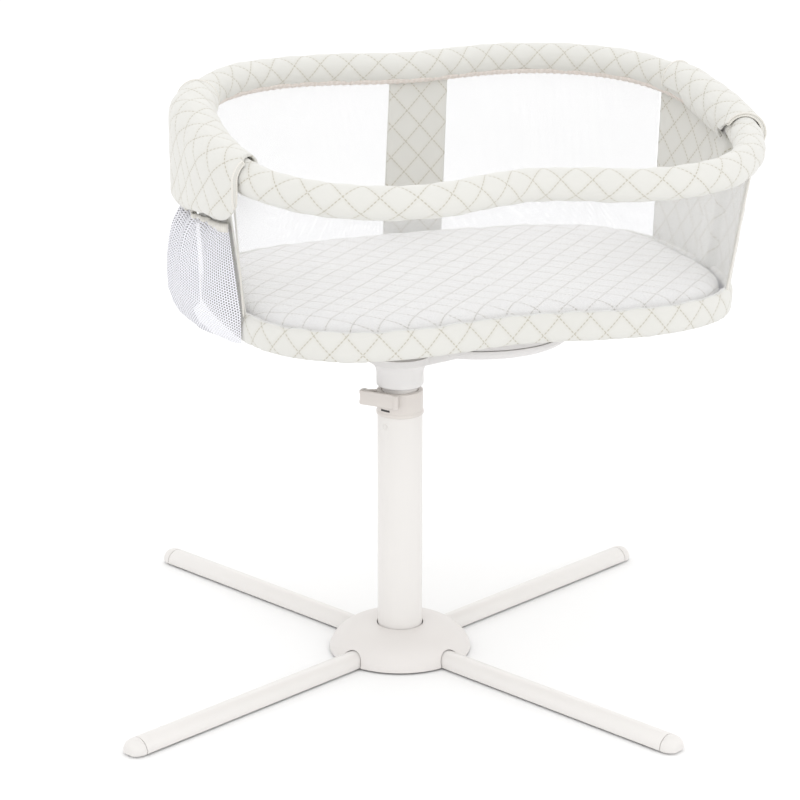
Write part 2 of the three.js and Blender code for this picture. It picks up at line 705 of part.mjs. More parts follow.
function clampLever() {
  const low = LEVER_MIDDLE - LEVER_HEIGHT / 2;
  const high = low + LEVER_HEIGHT;
  const lugLow = LEVER_MIDDLE - LUG_HEIGHT / 2 - RUN;
  const lugHigh = LEVER_MIDDLE + LUG_HEIGHT / 2 + RUN;
  const bodies = [raised(leverPlate(), low, high)];
  for (const [from, to] of [[low, lugLow], [lugHigh, high]]) {
    bodies.push(disc(LEVER_OFFSET + 1, from, to, SMALL_STEPS));
    bodies.push(block([-LEVER_OFFSET - 0.6, -LEVER_OFFSET - 2, from], [LEVER_OFFSET + 3, 0, to]));
  }
  const bore = disc(holeRadius(PIN_RADIUS, RUN), low - 1, high + 1, SMALL_STEPS);
  return carve(bodies, [bore]).rotateZ(LEVER_SLANT).translate(PIN_X, PIN_Y, 0);
}

function innerColumn() {
  return ring(TUBE_RADIUS - TUBE_WALL, TUBE_RADIUS, TUBE_BOTTOM, TUBE_TOP);
}

function tubePlug() {
  const hole = SWIVEL_BOLT_RADIUS + GAP;
  const shank = TUBE_RADIUS - TUBE_WALL - GAP;
  const seat = TUBE_TOP + GAP;
  return turned([
    [hole, TUBE_TOP - PLUG_DEPTH], [shank, TUBE_TOP - PLUG_DEPTH], [shank, seat],
    [TUBE_RADIUS, seat], [TUBE_RADIUS, seat + PLUG_FLANGE], [hole, seat + PLUG_FLANGE],
  ]);
}

// ---------- swivel arm and turntable ----------

const NECK_SEAT = TUBE_TOP + GAP + PLUG_FLANGE + GAP;

// Tangent outline round the column end and the turntable end of the arm.
function armOutline() {
  const lean = Math.acos((ARM_ROOT_RADIUS - ARM_END_RADIUS) / ARM_REACH);
  const outline = new THREE.Path();
  outline.absarc(0, 0, ARM_ROOT_RADIUS, lean, 2 * Math.PI - lean, false);
  outline.absarc(ARM_REACH, 0, ARM_END_RADIUS, -lean, lean, false);
  return outline.getPoints(6);
}

function swivelArm() {
  const neck = turned([
    [0, NECK_BOTTOM], [TUBE_RADIUS + 2, NECK_BOTTOM], [NECK_RADIUS, NECK_BOTTOM + NECK_CHAMFER],
    [NECK_RADIUS, DISH_TOP], [0, DISH_TOP],
  ]);
  const beam = raised(armOutline(), DISH_BOTTOM - ARM_PROUD, DISH_TOP - 2);
  const dish = turned([
    [0, DISH_BOTTOM], [DISH_RADIUS * 0.82, DISH_BOTTOM], [DISH_RADIUS * 0.93, DISH_BOTTOM + 2.5],
    [DISH_RADIUS * 0.985, DISH_BOTTOM + 8], [DISH_RADIUS, DISH_BOTTOM + 14], [DISH_RADIUS, DISH_TOP],
    [0, DISH_TOP],
  ], WIDE_STEPS).translate(ARM_REACH, 0, 0);
  const socket = disc(TUBE_RADIUS + RUN, NECK_BOTTOM - 1, NECK_SEAT);
  const boltHole = disc(holeRadius(SWIVEL_BOLT_RADIUS), NECK_SEAT - 1, DISH_TOP + 1, SMALL_STEPS);
  const grooveInner = BEARING_INNER - BEARING_PLAY;
  const grooveOuter = BEARING_OUTER + BEARING_PLAY;
  const groove = ring(grooveInner, grooveOuter, DISH_TOP - BEARING_SINK, DISH_TOP + 1);
  const centre = disc(holeRadius(CENTRE_BOLT_RADIUS), DISH_BOTTOM - ARM_PROUD - 2, DISH_TOP + 1, SMALL_STEPS);
  groove.translate(ARM_REACH, 0, 0);
  centre.translate(ARM_REACH, 0, 0);
  return carve([neck, beam, dish], [socket, boltHole, groove, centre]).rotateZ(ARM_AZIMUTH);
}

function swivelBolt() {
  const seat = DISH_TOP + GAP;
  const bottom = TUBE_TOP - PLUG_DEPTH + 2;
  return turned([
    [0, bottom], [SWIVEL_BOLT_RADIUS, bottom], [SWIVEL_BOLT_RADIUS, seat], [SWIVEL_BOLT_RADIUS * 2, seat],
    [SWIVEL_BOLT_RADIUS * 2, seat + SWIVEL_HEAD_HEIGHT], [0, seat + SWIVEL_HEAD_HEIGHT],
  ], SMALL_STEPS);
}

function bearingRing() {
  const bottom = DISH_TOP - BEARING_SINK + GAP;
  return ring(BEARING_INNER, BEARING_OUTER, bottom, DISH_TOP + PARTING + BEARING_SINK - RUN);
}

function centreBolt() {
  const seat = DISH_BOTTOM - ARM_PROUD - GAP;
  const top = BAND_BOTTOM;
  return turned([
    [0, seat - BOLT_HEAD_HEIGHT], [BOLT_HEAD_RADIUS, seat - BOLT_HEAD_HEIGHT], [BOLT_HEAD_RADIUS, seat],
    [CENTRE_BOLT_RADIUS, seat], [CENTRE_BOLT_RADIUS, top], [0, top],
  ], SMALL_STEPS);
}

function turntablePlate() {
  const bottom = DISH_TOP + PARTING;
  const top = BAND_BOTTOM + BAND_FLOOR;
  const bore = CENTRE_BOLT_RADIUS + RUN;
  const grooveInner = BEARING_INNER - BEARING_PLAY;
  const grooveOuter = BEARING_OUTER + BEARING_PLAY;
  const grooveTop = bottom + BEARING_SINK;
  return turned([
    [bore, bottom], [grooveInner, bottom], [grooveInner, grooveTop], [grooveOuter, grooveTop],
    [grooveOuter, bottom], [TURNTABLE_RADIUS, bottom], [TURNTABLE_RADIUS, bottom + TURNTABLE_RIM],
    [TURNTABLE_RADIUS - 5, bottom + TURNTABLE_RIM + 6], [TURNTABLE_TOP_RADIUS, top], [bore, top],
  ], WIDE_STEPS);
}

// ---------- bed floor ----------

const BOARD_BOTTOM = BAND_BOTTOM + BAND_FLOOR + GAP;
const BOARD_TOP = BOARD_BOTTOM + BOARD_THICKNESS;
const BAND_TOP = BAND_BOTTOM + BAND_HEIGHT;
const FRAME_INSET = BAND_WALL + 2 * GAP + FRAME_RADIUS;
const FRAME_HEIGHT = BOARD_TOP + GAP + FRAME_RADIUS;

// The padded band: an outer wall with a floor lip turned in under the board.
function bandCover() {
  const corners = [
    [0, BAND_BOTTOM + 6], [0, BAND_TOP - 6], [2, BAND_TOP], [BAND_WALL, BAND_TOP],
    [BAND_WALL, BAND_BOTTOM + BAND_FLOOR], [BAND_LIP, BAND_BOTTOM + BAND_FLOOR], [BAND_LIP, BAND_BOTTOM],
    [4, BAND_BOTTOM],
  ];
  const loops = corners.map(([inset, height]) => floorLoop(inset, height));
  return loft(loops, true);
}

function baseBoard() {
  const inset = BAND_WALL + GAP;
  return loft([floorLoop(inset, BOARD_BOTTOM), floorLoop(inset, BOARD_TOP)]);
}

function frameRing() {
  const loops = [];
  for (let k = 0; k < BAR_SIDES; k += 1) {
    const turn = (2 * Math.PI * k) / BAR_SIDES;
    const inset = FRAME_INSET + FRAME_RADIUS * Math.cos(turn);
    loops.push(floorLoop(inset, FRAME_HEIGHT + FRAME_RADIUS * Math.sin(turn)));
  }
  return loft(loops, true);
}

function mattress() {
  const bottom = BOARD_TOP + GAP;
  const round = MATTRESS_ROUND;
  return loft([
    floorLoop(MATTRESS_INSET + 4, bottom),
    floorLoop(MATTRESS_INSET, bottom + round / 2),
    floorLoop(MATTRESS_INSET, MATTRESS_TOP - round),
    floorLoop(MATTRESS_INSET + round * 0.4, MATTRESS_TOP - round * 0.3),
    floorLoop(MATTRESS_INSET + round, MATTRESS_TOP),
  ]);
}

// ---------- bed walls ----------

const WALL_BOTTOM = BAND_TOP + GAP;
const FLOOR_TO_RIM = RIM_RADIUS + WALL_CLEARANCE;

// A thin wall between the floor outline and a top edge, over part of the way round.
// Each end is given by its angle on the floor outline and on the rim outline.
function wallPanel(ends, columns, thickness, topOffset, topHeight) {
  const floorLine = evenPoints(floorPoint, ends.floor[0], ends.floor[1], columns);
  const rimLine = evenPoints(rimPoint, ends.rim[0], ends.rim[1], columns);
  const floorNormals = outwardNormals(floorLine, false);
  const rimNormals = outwardNormals(rimLine, false);
  const inset = -thickness / 2 - WALL_SETBACK;
  const rings = [];
  for (let i = 0; i <= columns; i += 1) {
    const foot = floorLine[i].clone().addScaledVector(floorNormals[i], inset).setZ(WALL_BOTTOM);
    const rimEdge = rimLine[i].clone().addScaledVector(rimNormals[i], topOffset).setZ(underRim(rimLine[i]));
    const share = (topHeight(rimLine[i]) - WALL_BOTTOM) / (rimEdge.z - WALL_BOTTOM);
    const head = foot.clone().lerp(rimEdge, share);
    const inner = [];
    const outer = [];
    for (let k = 0; k <= WALL_ROWS; k += 1) {
      const middle = foot.clone().lerp(head, k / WALL_ROWS);
      const across = floorNormals[i].clone().lerp(rimNormals[i], k / WALL_ROWS).normalize();
      inner.push(middle.clone().addScaledVector(across, -thickness / 2));
      outer.push(middle.clone().addScaledVector(across, thickness / 2));
    }
    rings.push([...inner, ...outer.reverse()]);
  }
  return loft(rings);
}

function underRim(point) {
  return point.z - FLOOR_TO_RIM;
}

// Top edge of an end panel: under the rim, under the bracket, and under the folded front rim.
function endPanelTop(point) {
  const pinHeight = rimHeight(HINGE_Y);
  const underBracket = pinHeight - BRACKET_HEIGHT / 2 - UNDER_BRACKET - 2;
  const slope = Math.tan(FOLD_ANGLE + FOLD_SPARE);
  const underFold = pinHeight - RIM_RADIUS * 1.2 - slope * (HINGE_Y - point.y);
  return Math.min(underRim(point), point.y < 0 ? underBracket : Infinity, underFold);
}

function anglesAtY(y, side) {
  return { floor: angleAtY(FLOOR_OUTLINE, y, side), rim: angleAtY(RIM_OUTLINE, y, side) };
}

function anglesAtX(x) {
  return { floor: angleAtX(FLOOR_OUTLINE, x), rim: angleAtX(RIM_OUTLINE, x) };
}

function between(start, end) {
  return { floor: [start.floor, end.floor], rim: [start.rim, end.rim] };
}

function endPanel(side) {
  const front = anglesAtY(side > 0 ? RIGHT_PANEL_FRONT : LEFT_PANEL_FRONT, side);
  const rear = anglesAtY(END_PANEL_REAR, side);
  const ends = side > 0 ? between(front, rear) : between(rear, front);
  return wallPanel(ends, 10, PANEL_THICKNESS, END_PANEL_OFFSET, endPanelTop);
}

function rearMesh(side) {
  const corner = anglesAtY(END_PANEL_REAR + SEAM, side);
  const middle = anglesAtX(CENTRE_PANEL_X + side * (CENTRE_PANEL_WIDTH / 2 + SEAM));
  const ends = side > 0 ? between(corner, middle) : between(middle, corner);
  return wallPanel(ends, 14, MESH_THICKNESS, 0, underRim);
}

function centrePanel() {
  const right = anglesAtX(CENTRE_PANEL_X + CENTRE_PANEL_WIDTH / 2);
  const left = anglesAtX(CENTRE_PANEL_X - CENTRE_PANEL_WIDTH / 2);
  return wallPanel(between(right, left), 4, PANEL_THICKNESS, 0, underRim);
}

function frontMesh() {
  const left = anglesAtY(LEFT_PANEL_FRONT - SEAM, -1);
  const right = anglesAtY(RIGHT_PANEL_FRONT - SEAM, 1);
  const ends = between(left, { floor: right.floor + 2 * Math.PI, rim: right.rim + 2 * Math.PI });
  return wallPanel(ends, 30, MESH_THICKNESS, 0, underRim);
}

function endPost(side) {
  const footX = FLOOR_OUTLINE.halfLength - FRAME_INSET;
  const headX = RIM_OUTLINE.halfLength - POST_INSET;
  const foot = FRAME_HEIGHT + FRAME_RADIUS + GAP;
  const head = rimHeight(HINGE_Y) - BRACKET_HEIGHT / 2 - UNDER_BRACKET;
  const corners = (x, z) => [
    new THREE.Vector3(side * (x - POST_THICKNESS / 2), HINGE_Y - POST_WIDTH / 2, z),
    new THREE.Vector3(side * (x + POST_THICKNESS / 2), HINGE_Y - POST_WIDTH / 2, z),
    new THREE.Vector3(side * (x + POST_THICKNESS / 2), HINGE_Y + POST_WIDTH / 2, z),
    new THREE.Vector3(side * (x - POST_THICKNESS / 2), HINGE_Y + POST_WIDTH / 2, z),
  ];
  return loft([corners(footX, foot), corners(footX, WALL_BOTTOM), corners(headX, head)]);
}

// ---------- rims and hinges ----------

// Pin centre of one hinge. The pin lies along X, so both hinges share one axis.
function pinCentre(side) {
  return rimPoint(angleAtY(RIM_OUTLINE, HINGE_Y, side));
}

// Bore of a rod's socket: the rod and how far its curve leaves the socket's axis.
function socketBore() {
  const reach = SOCKET_START + SOCKET_DEPTH;
  const pin = pinCentre(1);
  const end = rimPoint(angleAtY(RIM_OUTLINE, HINGE_Y - reach, 1));
  const sway = Math.hypot(end.x - pin.x, end.z - pin.z + reach * Math.tan(rimSlope()));
  return BAR_RADIUS + sway + SOCKET_CLEARANCE;
}

// Slope of the rim's centre line where it passes the hinge, rising to the rear.
function rimSlope() {
  const reach = 30;
  return Math.atan2(rimHeight(HINGE_Y + reach) - rimHeight(HINGE_Y - reach), 2 * reach);
}

// Puts a shape drawn round the pin, with +Y along the rim to the rear, in its place.
function atHinge(geometry, side) {
  const centre = pinCentre(side);
  return geometry.rotateX(rimSlope()).translate(centre.x, centre.y, centre.z);
}

function rimRod(fromY, toY, rear) {
  const span = rear
    ? [angleAtY(RIM_OUTLINE, fromY, 1), angleAtY(RIM_OUTLINE, toY, -1)]
    : [angleAtY(RIM_OUTLINE, fromY, -1), angleAtY(RIM_OUTLINE, toY, 1) + 2 * Math.PI];
  return evenPoints(rimPoint, span[0], span[1], RIM_STEPS);
}

// Foam round a rod, with a bore that clears it.
function foamSleeve(path) {
  return sleeve(tubeRings(path, RIM_RADIUS, RIM_SIDES), tubeRings(path, BAR_RADIUS + FOAM_PLAY, RIM_SIDES));
}

function rearBar() {
  const end = HINGE_Y + SOCKET_START + GAP;
  return loft(tubeRings(rimRod(end, end, true), BAR_RADIUS, BAR_SIDES));
}

function rearPadding() {
  const end = HINGE_Y + BRACKET_HALF_LENGTH + 2;
  return foamSleeve(rimRod(end, end, true));
}

function frontBar() {
  const end = HINGE_Y - SOCKET_START - GAP;
  return loft(tubeRings(rimRod(end, end, false), BAR_RADIUS, BAR_SIDES));
}

function frontPadding() {
  const end = HINGE_Y - PADDING_START;
  return foamSleeve(rimRod(end, end, false));
}

function hingeBracket(side) {
  const halfWidth = BRACKET_WIDTH / 2;
  const halfHeight = BRACKET_HEIGHT / 2;
  const length = BRACKET_HALF_LENGTH;
  const body = block([-halfWidth, -length, -halfHeight], [halfWidth, length, halfHeight]);
  const slotEnd = HINGE_KNUCKLE_RADIUS + 1.5;
  const halfSlot = SLOT_WIDTH / 2;
  const slot = block([-halfSlot, -length - 1, -halfHeight - 1], [halfSlot, slotEnd, halfHeight + 1]);
  const pinHole = rodAlongX(holeRadius(HINGE_PIN_RADIUS), -halfWidth - 1, halfWidth + 1);
  const barHole = rodAlongY(socketBore(), SOCKET_START - 1, length + 1);
  return atHinge(carve([body], [slot, pinHole, barHole]), side);
}

function hingePin(side) {
  return atHinge(rodAlongX(HINGE_PIN_RADIUS, -BRACKET_WIDTH / 2 - 1, BRACKET_WIDTH / 2 + 1), side);
}

function hingeKnuckle(side) {
  const half = HINGE_KNUCKLE_WIDTH / 2;
  const barrel = rodAlongX(HINGE_KNUCKLE_RADIUS, -half, half);
  const socketEnd = -SOCKET_START - SOCKET_DEPTH;
  const socket = rodAlongY(socketBore() + SOCKET_WALL, socketEnd, -HINGE_KNUCKLE_RADIUS + 3);
  const pinHole = rodAlongX(holeRadius(HINGE_PIN_RADIUS, RUN), -half - 1, half + 1);
  const barHole = rodAlongY(socketBore(), socketEnd - 1, -SOCKET_START + 1);
  return atHinge(carve([barrel, socket], [pinHole, barHole]), side);
}

// A torsion spring round the hinge pin, beside the knuckle.
function hingeSpring(side) {
  const start = HINGE_KNUCKLE_WIDTH / 2 + SPRING_WIRE + RUN;
  const end = SLOT_WIDTH / 2 - SPRING_WIRE - RUN;
  const steps = Math.round(SPRING_TURNS * 12);
  const section = (i) => {
    const share = i / steps;
    const turn = share * SPRING_TURNS * 2 * Math.PI;
    const centre = new THREE.Vector3(start + (end - start) * share, 0, 0);
    const ringPoints = [];
    for (let k = 0; k < 5; k += 1) {
      const wind = (2 * Math.PI * k) / 5;
      const radius = SPRING_RADIUS + SPRING_WIRE * Math.cos(wind);
      const offset = new THREE.Vector3(SPRING_WIRE * Math.sin(wind), radius * Math.cos(turn), 0);
      offset.z = radius * Math.sin(turn);
      ringPoints.push(offset.add(centre));
    }
    return ringPoints;
  };
  const rings = [];
  for (let i = 0; i <= steps; i += 1) {
    rings.push(section(i));
  }
  return atHinge(loft(rings), side);
}

// ---------- hinge pads ----------

// Cross-section of a hinge pad round the rim, as [outward, up] pairs from the rim's centre line.
// start is the angle where the cover begins over the rim, drop the depth of the outer flap.
function padSection(start, out, drop) {
  const end = PAD_CHANNEL_END;
  const steps = PAD_STEPS;
  const section = [];
  for (let k = 0; k <= steps; k += 1) {
    const turn = start + ((end - start) * k) / steps;
    section.push([PAD_CHANNEL * Math.cos(turn), PAD_CHANNEL * Math.sin(turn)]);
  }
  section.push([PAD_CHANNEL + 0.5, -drop + 6]);
  section.push([(PAD_CHANNEL + out) / 2, -drop]);
  section.push([out, -drop + 8]);
  for (let k = 0; k <= steps; k += 1) {
    const turn = end + ((start - end) * k) / steps;
    const bulge = Math.max(Math.cos(turn), 0) * (out - PAD_CHANNEL - PAD_SKIN);
    const radius = PAD_CHANNEL + PAD_SKIN + bulge;
    section.push([radius * Math.cos(turn), radius * Math.sin(turn)]);
  }
  return section;
}

function hingePad(side) {
  const pad = side > 0 ? RIGHT_PAD : LEFT_PAD;
  const span = side > 0
    ? [angleAtY(RIM_OUTLINE, pad.front, 1), angleAtY(RIM_OUTLINE, pad.rear, 1)]
    : [angleAtY(RIM_OUTLINE, pad.rear, -1), angleAtY(RIM_OUTLINE, pad.front, -1)];
  const path = evenPoints(rimPoint, span[0], span[1], PAD_RINGS);
  const normals = outwardNormals(path, false);
  const { smoothstep, lerp } = THREE.MathUtils;
  const rings = path.map((point, i) => {
    const toFront = smoothstep(-point.y, -pad.recede, -pad.front);
    const toRear = smoothstep(point.y, pad.taper, pad.rear);
    const start = lerp(PAD_WRAP, pad.frontWrap, toFront);
    const frontOut = Math.min(pad.out, PAD_CHANNEL + 2 * PAD_SKIN);
    const out = lerp(lerp(pad.out, frontOut, toFront), PAD_CHANNEL + PAD_SKIN + 1, toRear);
    const bottom = lerp(PAD_BOTTOM + pad.rise * toFront, point.z - PAD_HEM, toRear);
    const section = padSection(start, out, point.z - bottom);
    return section.map(([along, up]) => {
      return point.clone().addScaledVector(normals[i], along).setZ(point.z + up);
    });
  });
  return loft(rings);
}

// ---------- pocket ----------

// A point on the outside of the left end, at a Y and a height, moved outwards.
function leftWallPoint(y, height, outwards) {
  const foot = floorPoint(angleAtY(FLOOR_OUTLINE, y, -1));
  const head = rimPoint(angleAtY(RIM_OUTLINE, y, -1));
  head.x -= END_PANEL_OFFSET;
  const share = Math.max((height - WALL_BOTTOM) / (head.z - FLOOR_TO_RIM - WALL_BOTTOM), 0);
  const x = foot.x + (head.x - foot.x) * share;
  return new THREE.Vector3(x - PANEL_THICKNESS - outwards, y, height);
}

function pocketRing(height, depth, shrink) {
  const front = POCKET_FRONT + shrink;
  const rear = POCKET_REAR - shrink;
  const near = POCKET_GAP + shrink;
  const inner = [];
  const outer = [];
  const steps = 9;
  for (let k = 0; k <= steps; k += 1) {
    const share = k / steps;
    const y = THREE.MathUtils.lerp(front, rear, share);
    const bulge = Math.sin(Math.PI * share) ** 0.5;
    inner.push(leftWallPoint(y, height, near));
    const reach = Math.max(depth - 2 * shrink, 2) * bulge;
    outer.push(leftWallPoint(y, height, near + POCKET_NEAR + reach));
  }
  return [...inner, ...outer.reverse()];
}

function pocket() {
  const outside = POCKET_LEVELS.map(({ rise, depth }) => pocketRing(BAND_BOTTOM + rise, depth, 0));
  const inside = POCKET_LEVELS.map(({ rise, depth }, i) => {
    const lifted = i === 0 ? rise + POCKET_SKIN : rise;
    return pocketRing(BAND_BOTTOM + lifted, depth, POCKET_SKIN);
  });
  return loft([...outside, ...inside.reverse()]);
}

// ---------- assembly ----------

const bassinet = new THREE.Group();
const bed = new THREE.Group();
bassinet.add(bed);

function addPart(parent, name, geometry, finish) {
  const flat = geometry.index ? geometry.toNonIndexed() : geometry;
  flat.computeVertexNormals();
  const mesh = new THREE.Mesh(flat, new THREE.MeshStandardMaterial(FINISHES[finish]));
  mesh.name = name;
  parent.add(mesh);
  return mesh;
}

// Stand: four legs on the diagonals, joined by the hub.
addPart(bassinet, 'base_plate', basePlate(), 'steel');
addPart(bassinet, 'hub_core', hubCore(), 'steel');
addPart(bassinet, 'hub_cover', hubCover(), 'whitePlastic');
for (let i = 0; i < LEG_COUNT; i += 1) {
  const azimuth = (i + 0.5) * ((2 * Math.PI) / LEG_COUNT);
  addPart(bassinet, `leg_${i + 1}`, legChannel(), 'whiteMetal').rotation.z = azimuth;
  addPart(bassinet, `leg_cap_${i + 1}`, legCap(), 'whitePlastic').rotation.z = azimuth;
  addPart(bassinet, `foot_pad_${i + 1}`, footPad(), 'rubber').rotation.z = azimuth;
  addPart(bassinet, `leg_screw_${i + 1}`, legScrew(), 'steel').rotation.z = azimuth;
}

// Column and clamp.
addPart(bassinet, 'column_outer', outerColumn(), 'whiteMetal');
addPart(bassinet, 'retaining_plug', retainingPlug(), 'whitePlastic');
addPart(bassinet, 'clamp_collar', clampCollar(), 'greyPlastic');
addPart(bassinet, 'clamp_screw', clampScrew(), 'steel');
addPart(bassinet, 'lever_pin', leverPin(), 'steel');
addPart(bassinet, 'clamp_lever', clampLever(), 'greyPlastic');
addPart(bassinet, 'column_inner', innerColumn(), 'whiteMetal');
addPart(bassinet, 'tube_plug', tubePlug(), 'whitePlastic');

// Swivel arm.
const armEnd = new THREE.Vector2(ARM_REACH, 0).rotateAround(new THREE.Vector2(0, 0), ARM_AZIMUTH);
addPart(bassinet, 'swivel_arm', swivelArm(), 'whitePlastic');
addPart(bassinet, 'swivel_bolt', swivelBolt(), 'steel');
addPart(bassinet, 'bearing_ring', bearingRing(), 'whitePlastic').position.set(armEnd.x, armEnd.y, 0);
addPart(bassinet, 'centre_bolt', centreBolt(), 'steel').position.set(armEnd.x, armEnd.y, 0);

// Bed, turned about the turntable.
const bedOffset = new THREE.Vector2(TURNTABLE_X, TURNTABLE_Y).rotateAround(new THREE.Vector2(0, 0), BED_YAW);
bed.position.set(armEnd.x - bedOffset.x, armEnd.y - bedOffset.y, 0);
bed.rotation.z = BED_YAW;
addPart(bed, 'turntable_plate', turntablePlate(), 'whitePlastic').position.set(TURNTABLE_X, TURNTABLE_Y, 0);
addPart(bed, 'base_board', baseBoard(), 'board');
addPart(bed, 'frame_ring', frameRing(), 'steel');
addPart(bed, 'band_cover', bandCover(), 'quilt');
addPart(bed, 'mattress', mattress(), 'quilt');
addPart(bed, 'rear_bar', rearBar(), 'steel');
addPart(bed, 'rear_padding', rearPadding(), 'quilt');
addPart(bed, 'centre_panel', centrePanel(), 'quilt');
addPart(bed, 'front_bar', frontBar(), 'steel');
addPart(bed, 'front_padding', frontPadding(), 'quilt');
addPart(bed, 'front_mesh', frontMesh(), 'mesh');
addPart(bed, 'pocket', pocket(), 'mesh');
for (const [name, side] of [['left', -1], ['right', 1]]) {
  addPart(bed, `end_post_${name}`, endPost(side), 'steel');
  addPart(bed, `end_panel_${name}`, endPanel(side), 'quilt');
  addPart(bed, `rear_mesh_${name}`, rearMesh(side), 'mesh');
  addPart(bed, `hinge_bracket_${name}`, hingeBracket(side), 'whitePlastic');
  addPart(bed, `hinge_pin_${name}`, hingePin(side), 'steel');
  addPart(bed, `hinge_knuckle_${name}`, hingeKnuckle(side), 'steel');
  addPart(bed, `hinge_spring_${name}`, hingeSpring(side), 'steel');
  addPart(bed, `hinge_pad_${name}`, hingePad(side), 'quilt');
}

export default bassinet;
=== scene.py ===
"""Looks for a quilted bassinet on a swivelling pedestal stand, in metres, +Z up.

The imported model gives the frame. Each sub-assembly is a class that holds its sizes, models its
pieces and dresses them. Cloth follows one shared description of the bed's outline.
"""

from __future__ import annotations

import json
import logging
import math
from dataclasses import dataclass, field
from enum import Enum
from typing import Callable, Sequence

import bmesh
import bpy
import numpy as np
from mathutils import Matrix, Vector, noise


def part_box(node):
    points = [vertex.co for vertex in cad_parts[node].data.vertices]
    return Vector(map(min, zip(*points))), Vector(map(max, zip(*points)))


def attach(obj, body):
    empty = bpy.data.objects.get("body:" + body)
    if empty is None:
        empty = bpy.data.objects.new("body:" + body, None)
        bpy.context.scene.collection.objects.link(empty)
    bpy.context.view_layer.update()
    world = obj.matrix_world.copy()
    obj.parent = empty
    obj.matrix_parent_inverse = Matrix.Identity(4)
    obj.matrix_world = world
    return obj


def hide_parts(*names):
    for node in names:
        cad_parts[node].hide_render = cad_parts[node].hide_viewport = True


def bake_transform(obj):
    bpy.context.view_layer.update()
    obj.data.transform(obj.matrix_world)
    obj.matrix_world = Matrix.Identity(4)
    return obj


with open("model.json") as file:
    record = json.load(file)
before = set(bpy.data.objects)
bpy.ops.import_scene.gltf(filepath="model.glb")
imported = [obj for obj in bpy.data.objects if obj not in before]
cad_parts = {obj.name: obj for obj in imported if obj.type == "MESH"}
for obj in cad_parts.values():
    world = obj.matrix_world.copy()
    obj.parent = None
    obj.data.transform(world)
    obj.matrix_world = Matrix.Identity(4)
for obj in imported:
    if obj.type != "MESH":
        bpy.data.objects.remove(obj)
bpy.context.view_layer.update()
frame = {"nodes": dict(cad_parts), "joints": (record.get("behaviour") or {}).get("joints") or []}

LOG = logging.getLogger("bassinet")
TURN = 2 * math.pi
LEVER_PIN = (-0.0565, -0.0075)
Ring = np.ndarray


class Side(Enum):
    """The two ends of the bed."""

    LEFT = -1
    RIGHT = 1

    @property
    def word(self) -> str:
        """The end's name in node names."""
        return self.name.lower()


def linear(red: int, green: int, blue: int) -> tuple[float, float, float, float]:
    """Turns a display colour into the linear one that shaders use.

    Args:
        red: Display red, 0 to 255.
        green: Display green, 0 to 255.
        blue: Display blue, 0 to 255.

    Returns:
        The linear colour with full alpha.
    """
    shares = [value / 255 for value in (red, green, blue)]
    bent = [((s + 0.055) / 1.055) ** 2.4 if s > 0.04045 else s / 12.92 for s in shares]
    return (*bent, 1.0)


# ---------------------------------------------------------------- shader tools


class Value:
    """A number on a shader socket, on which Python operators add Math nodes."""

    def __init__(self, shader: "Shader", socket: bpy.types.NodeSocket) -> None:
        """Wraps a socket of a shader."""
        self.shader = shader
        self.socket = socket

    def _math(self, operation: str, *others: "Value | float", first: float | None = None) -> "Value":
        """Adds one Math node.

        Args:
            operation: The Math node's operation.
            others: The remaining operands.
            first: A plain number to stand before this value.

        Returns:
            The node's result.
        """
        operands: list[Value | float] = [self, *others] if first is None else [first, self]
        made = self.shader.add("ShaderNodeMath", {"operation": operation}, *operands)
        return Value(self.shader, made.outputs[0])

    def __add__(self, other: "Value | float") -> "Value":
        """Adds."""
        return self._math("ADD", other)

    def __sub__(self, other: "Value | float") -> "Value":
        """Subtracts."""
        return self._math("SUBTRACT", other)

    def __rsub__(self, other: float) -> "Value":
        """Subtracts from a number."""
        return self._math("SUBTRACT", first=other)

    def __mul__(self, other: "Value | float") -> "Value":
        """Multiplies."""
        return self._math("MULTIPLY", other)

    def __abs__(self) -> "Value":
        """Drops the sign."""
        return self._math("ABSOLUTE")

    def fraction(self) -> "Value":
        """The part after the decimal point."""
        return self._math("FRACT")

    def cosine(self) -> "Value":
        """The cosine of the value in radians."""
        return self._math("COSINE")

    def least(self, other: "Value | float") -> "Value":
        """The smaller of two values."""
        return self._math("MINIMUM", other)

    def most(self, other: "Value | float") -> "Value":
        """The larger of two values."""
        return self._math("MAXIMUM", other)

    def clamped(self) -> "Value":
        """The value kept between 0 and 1."""
        return self.most(0.0).least(1.0)


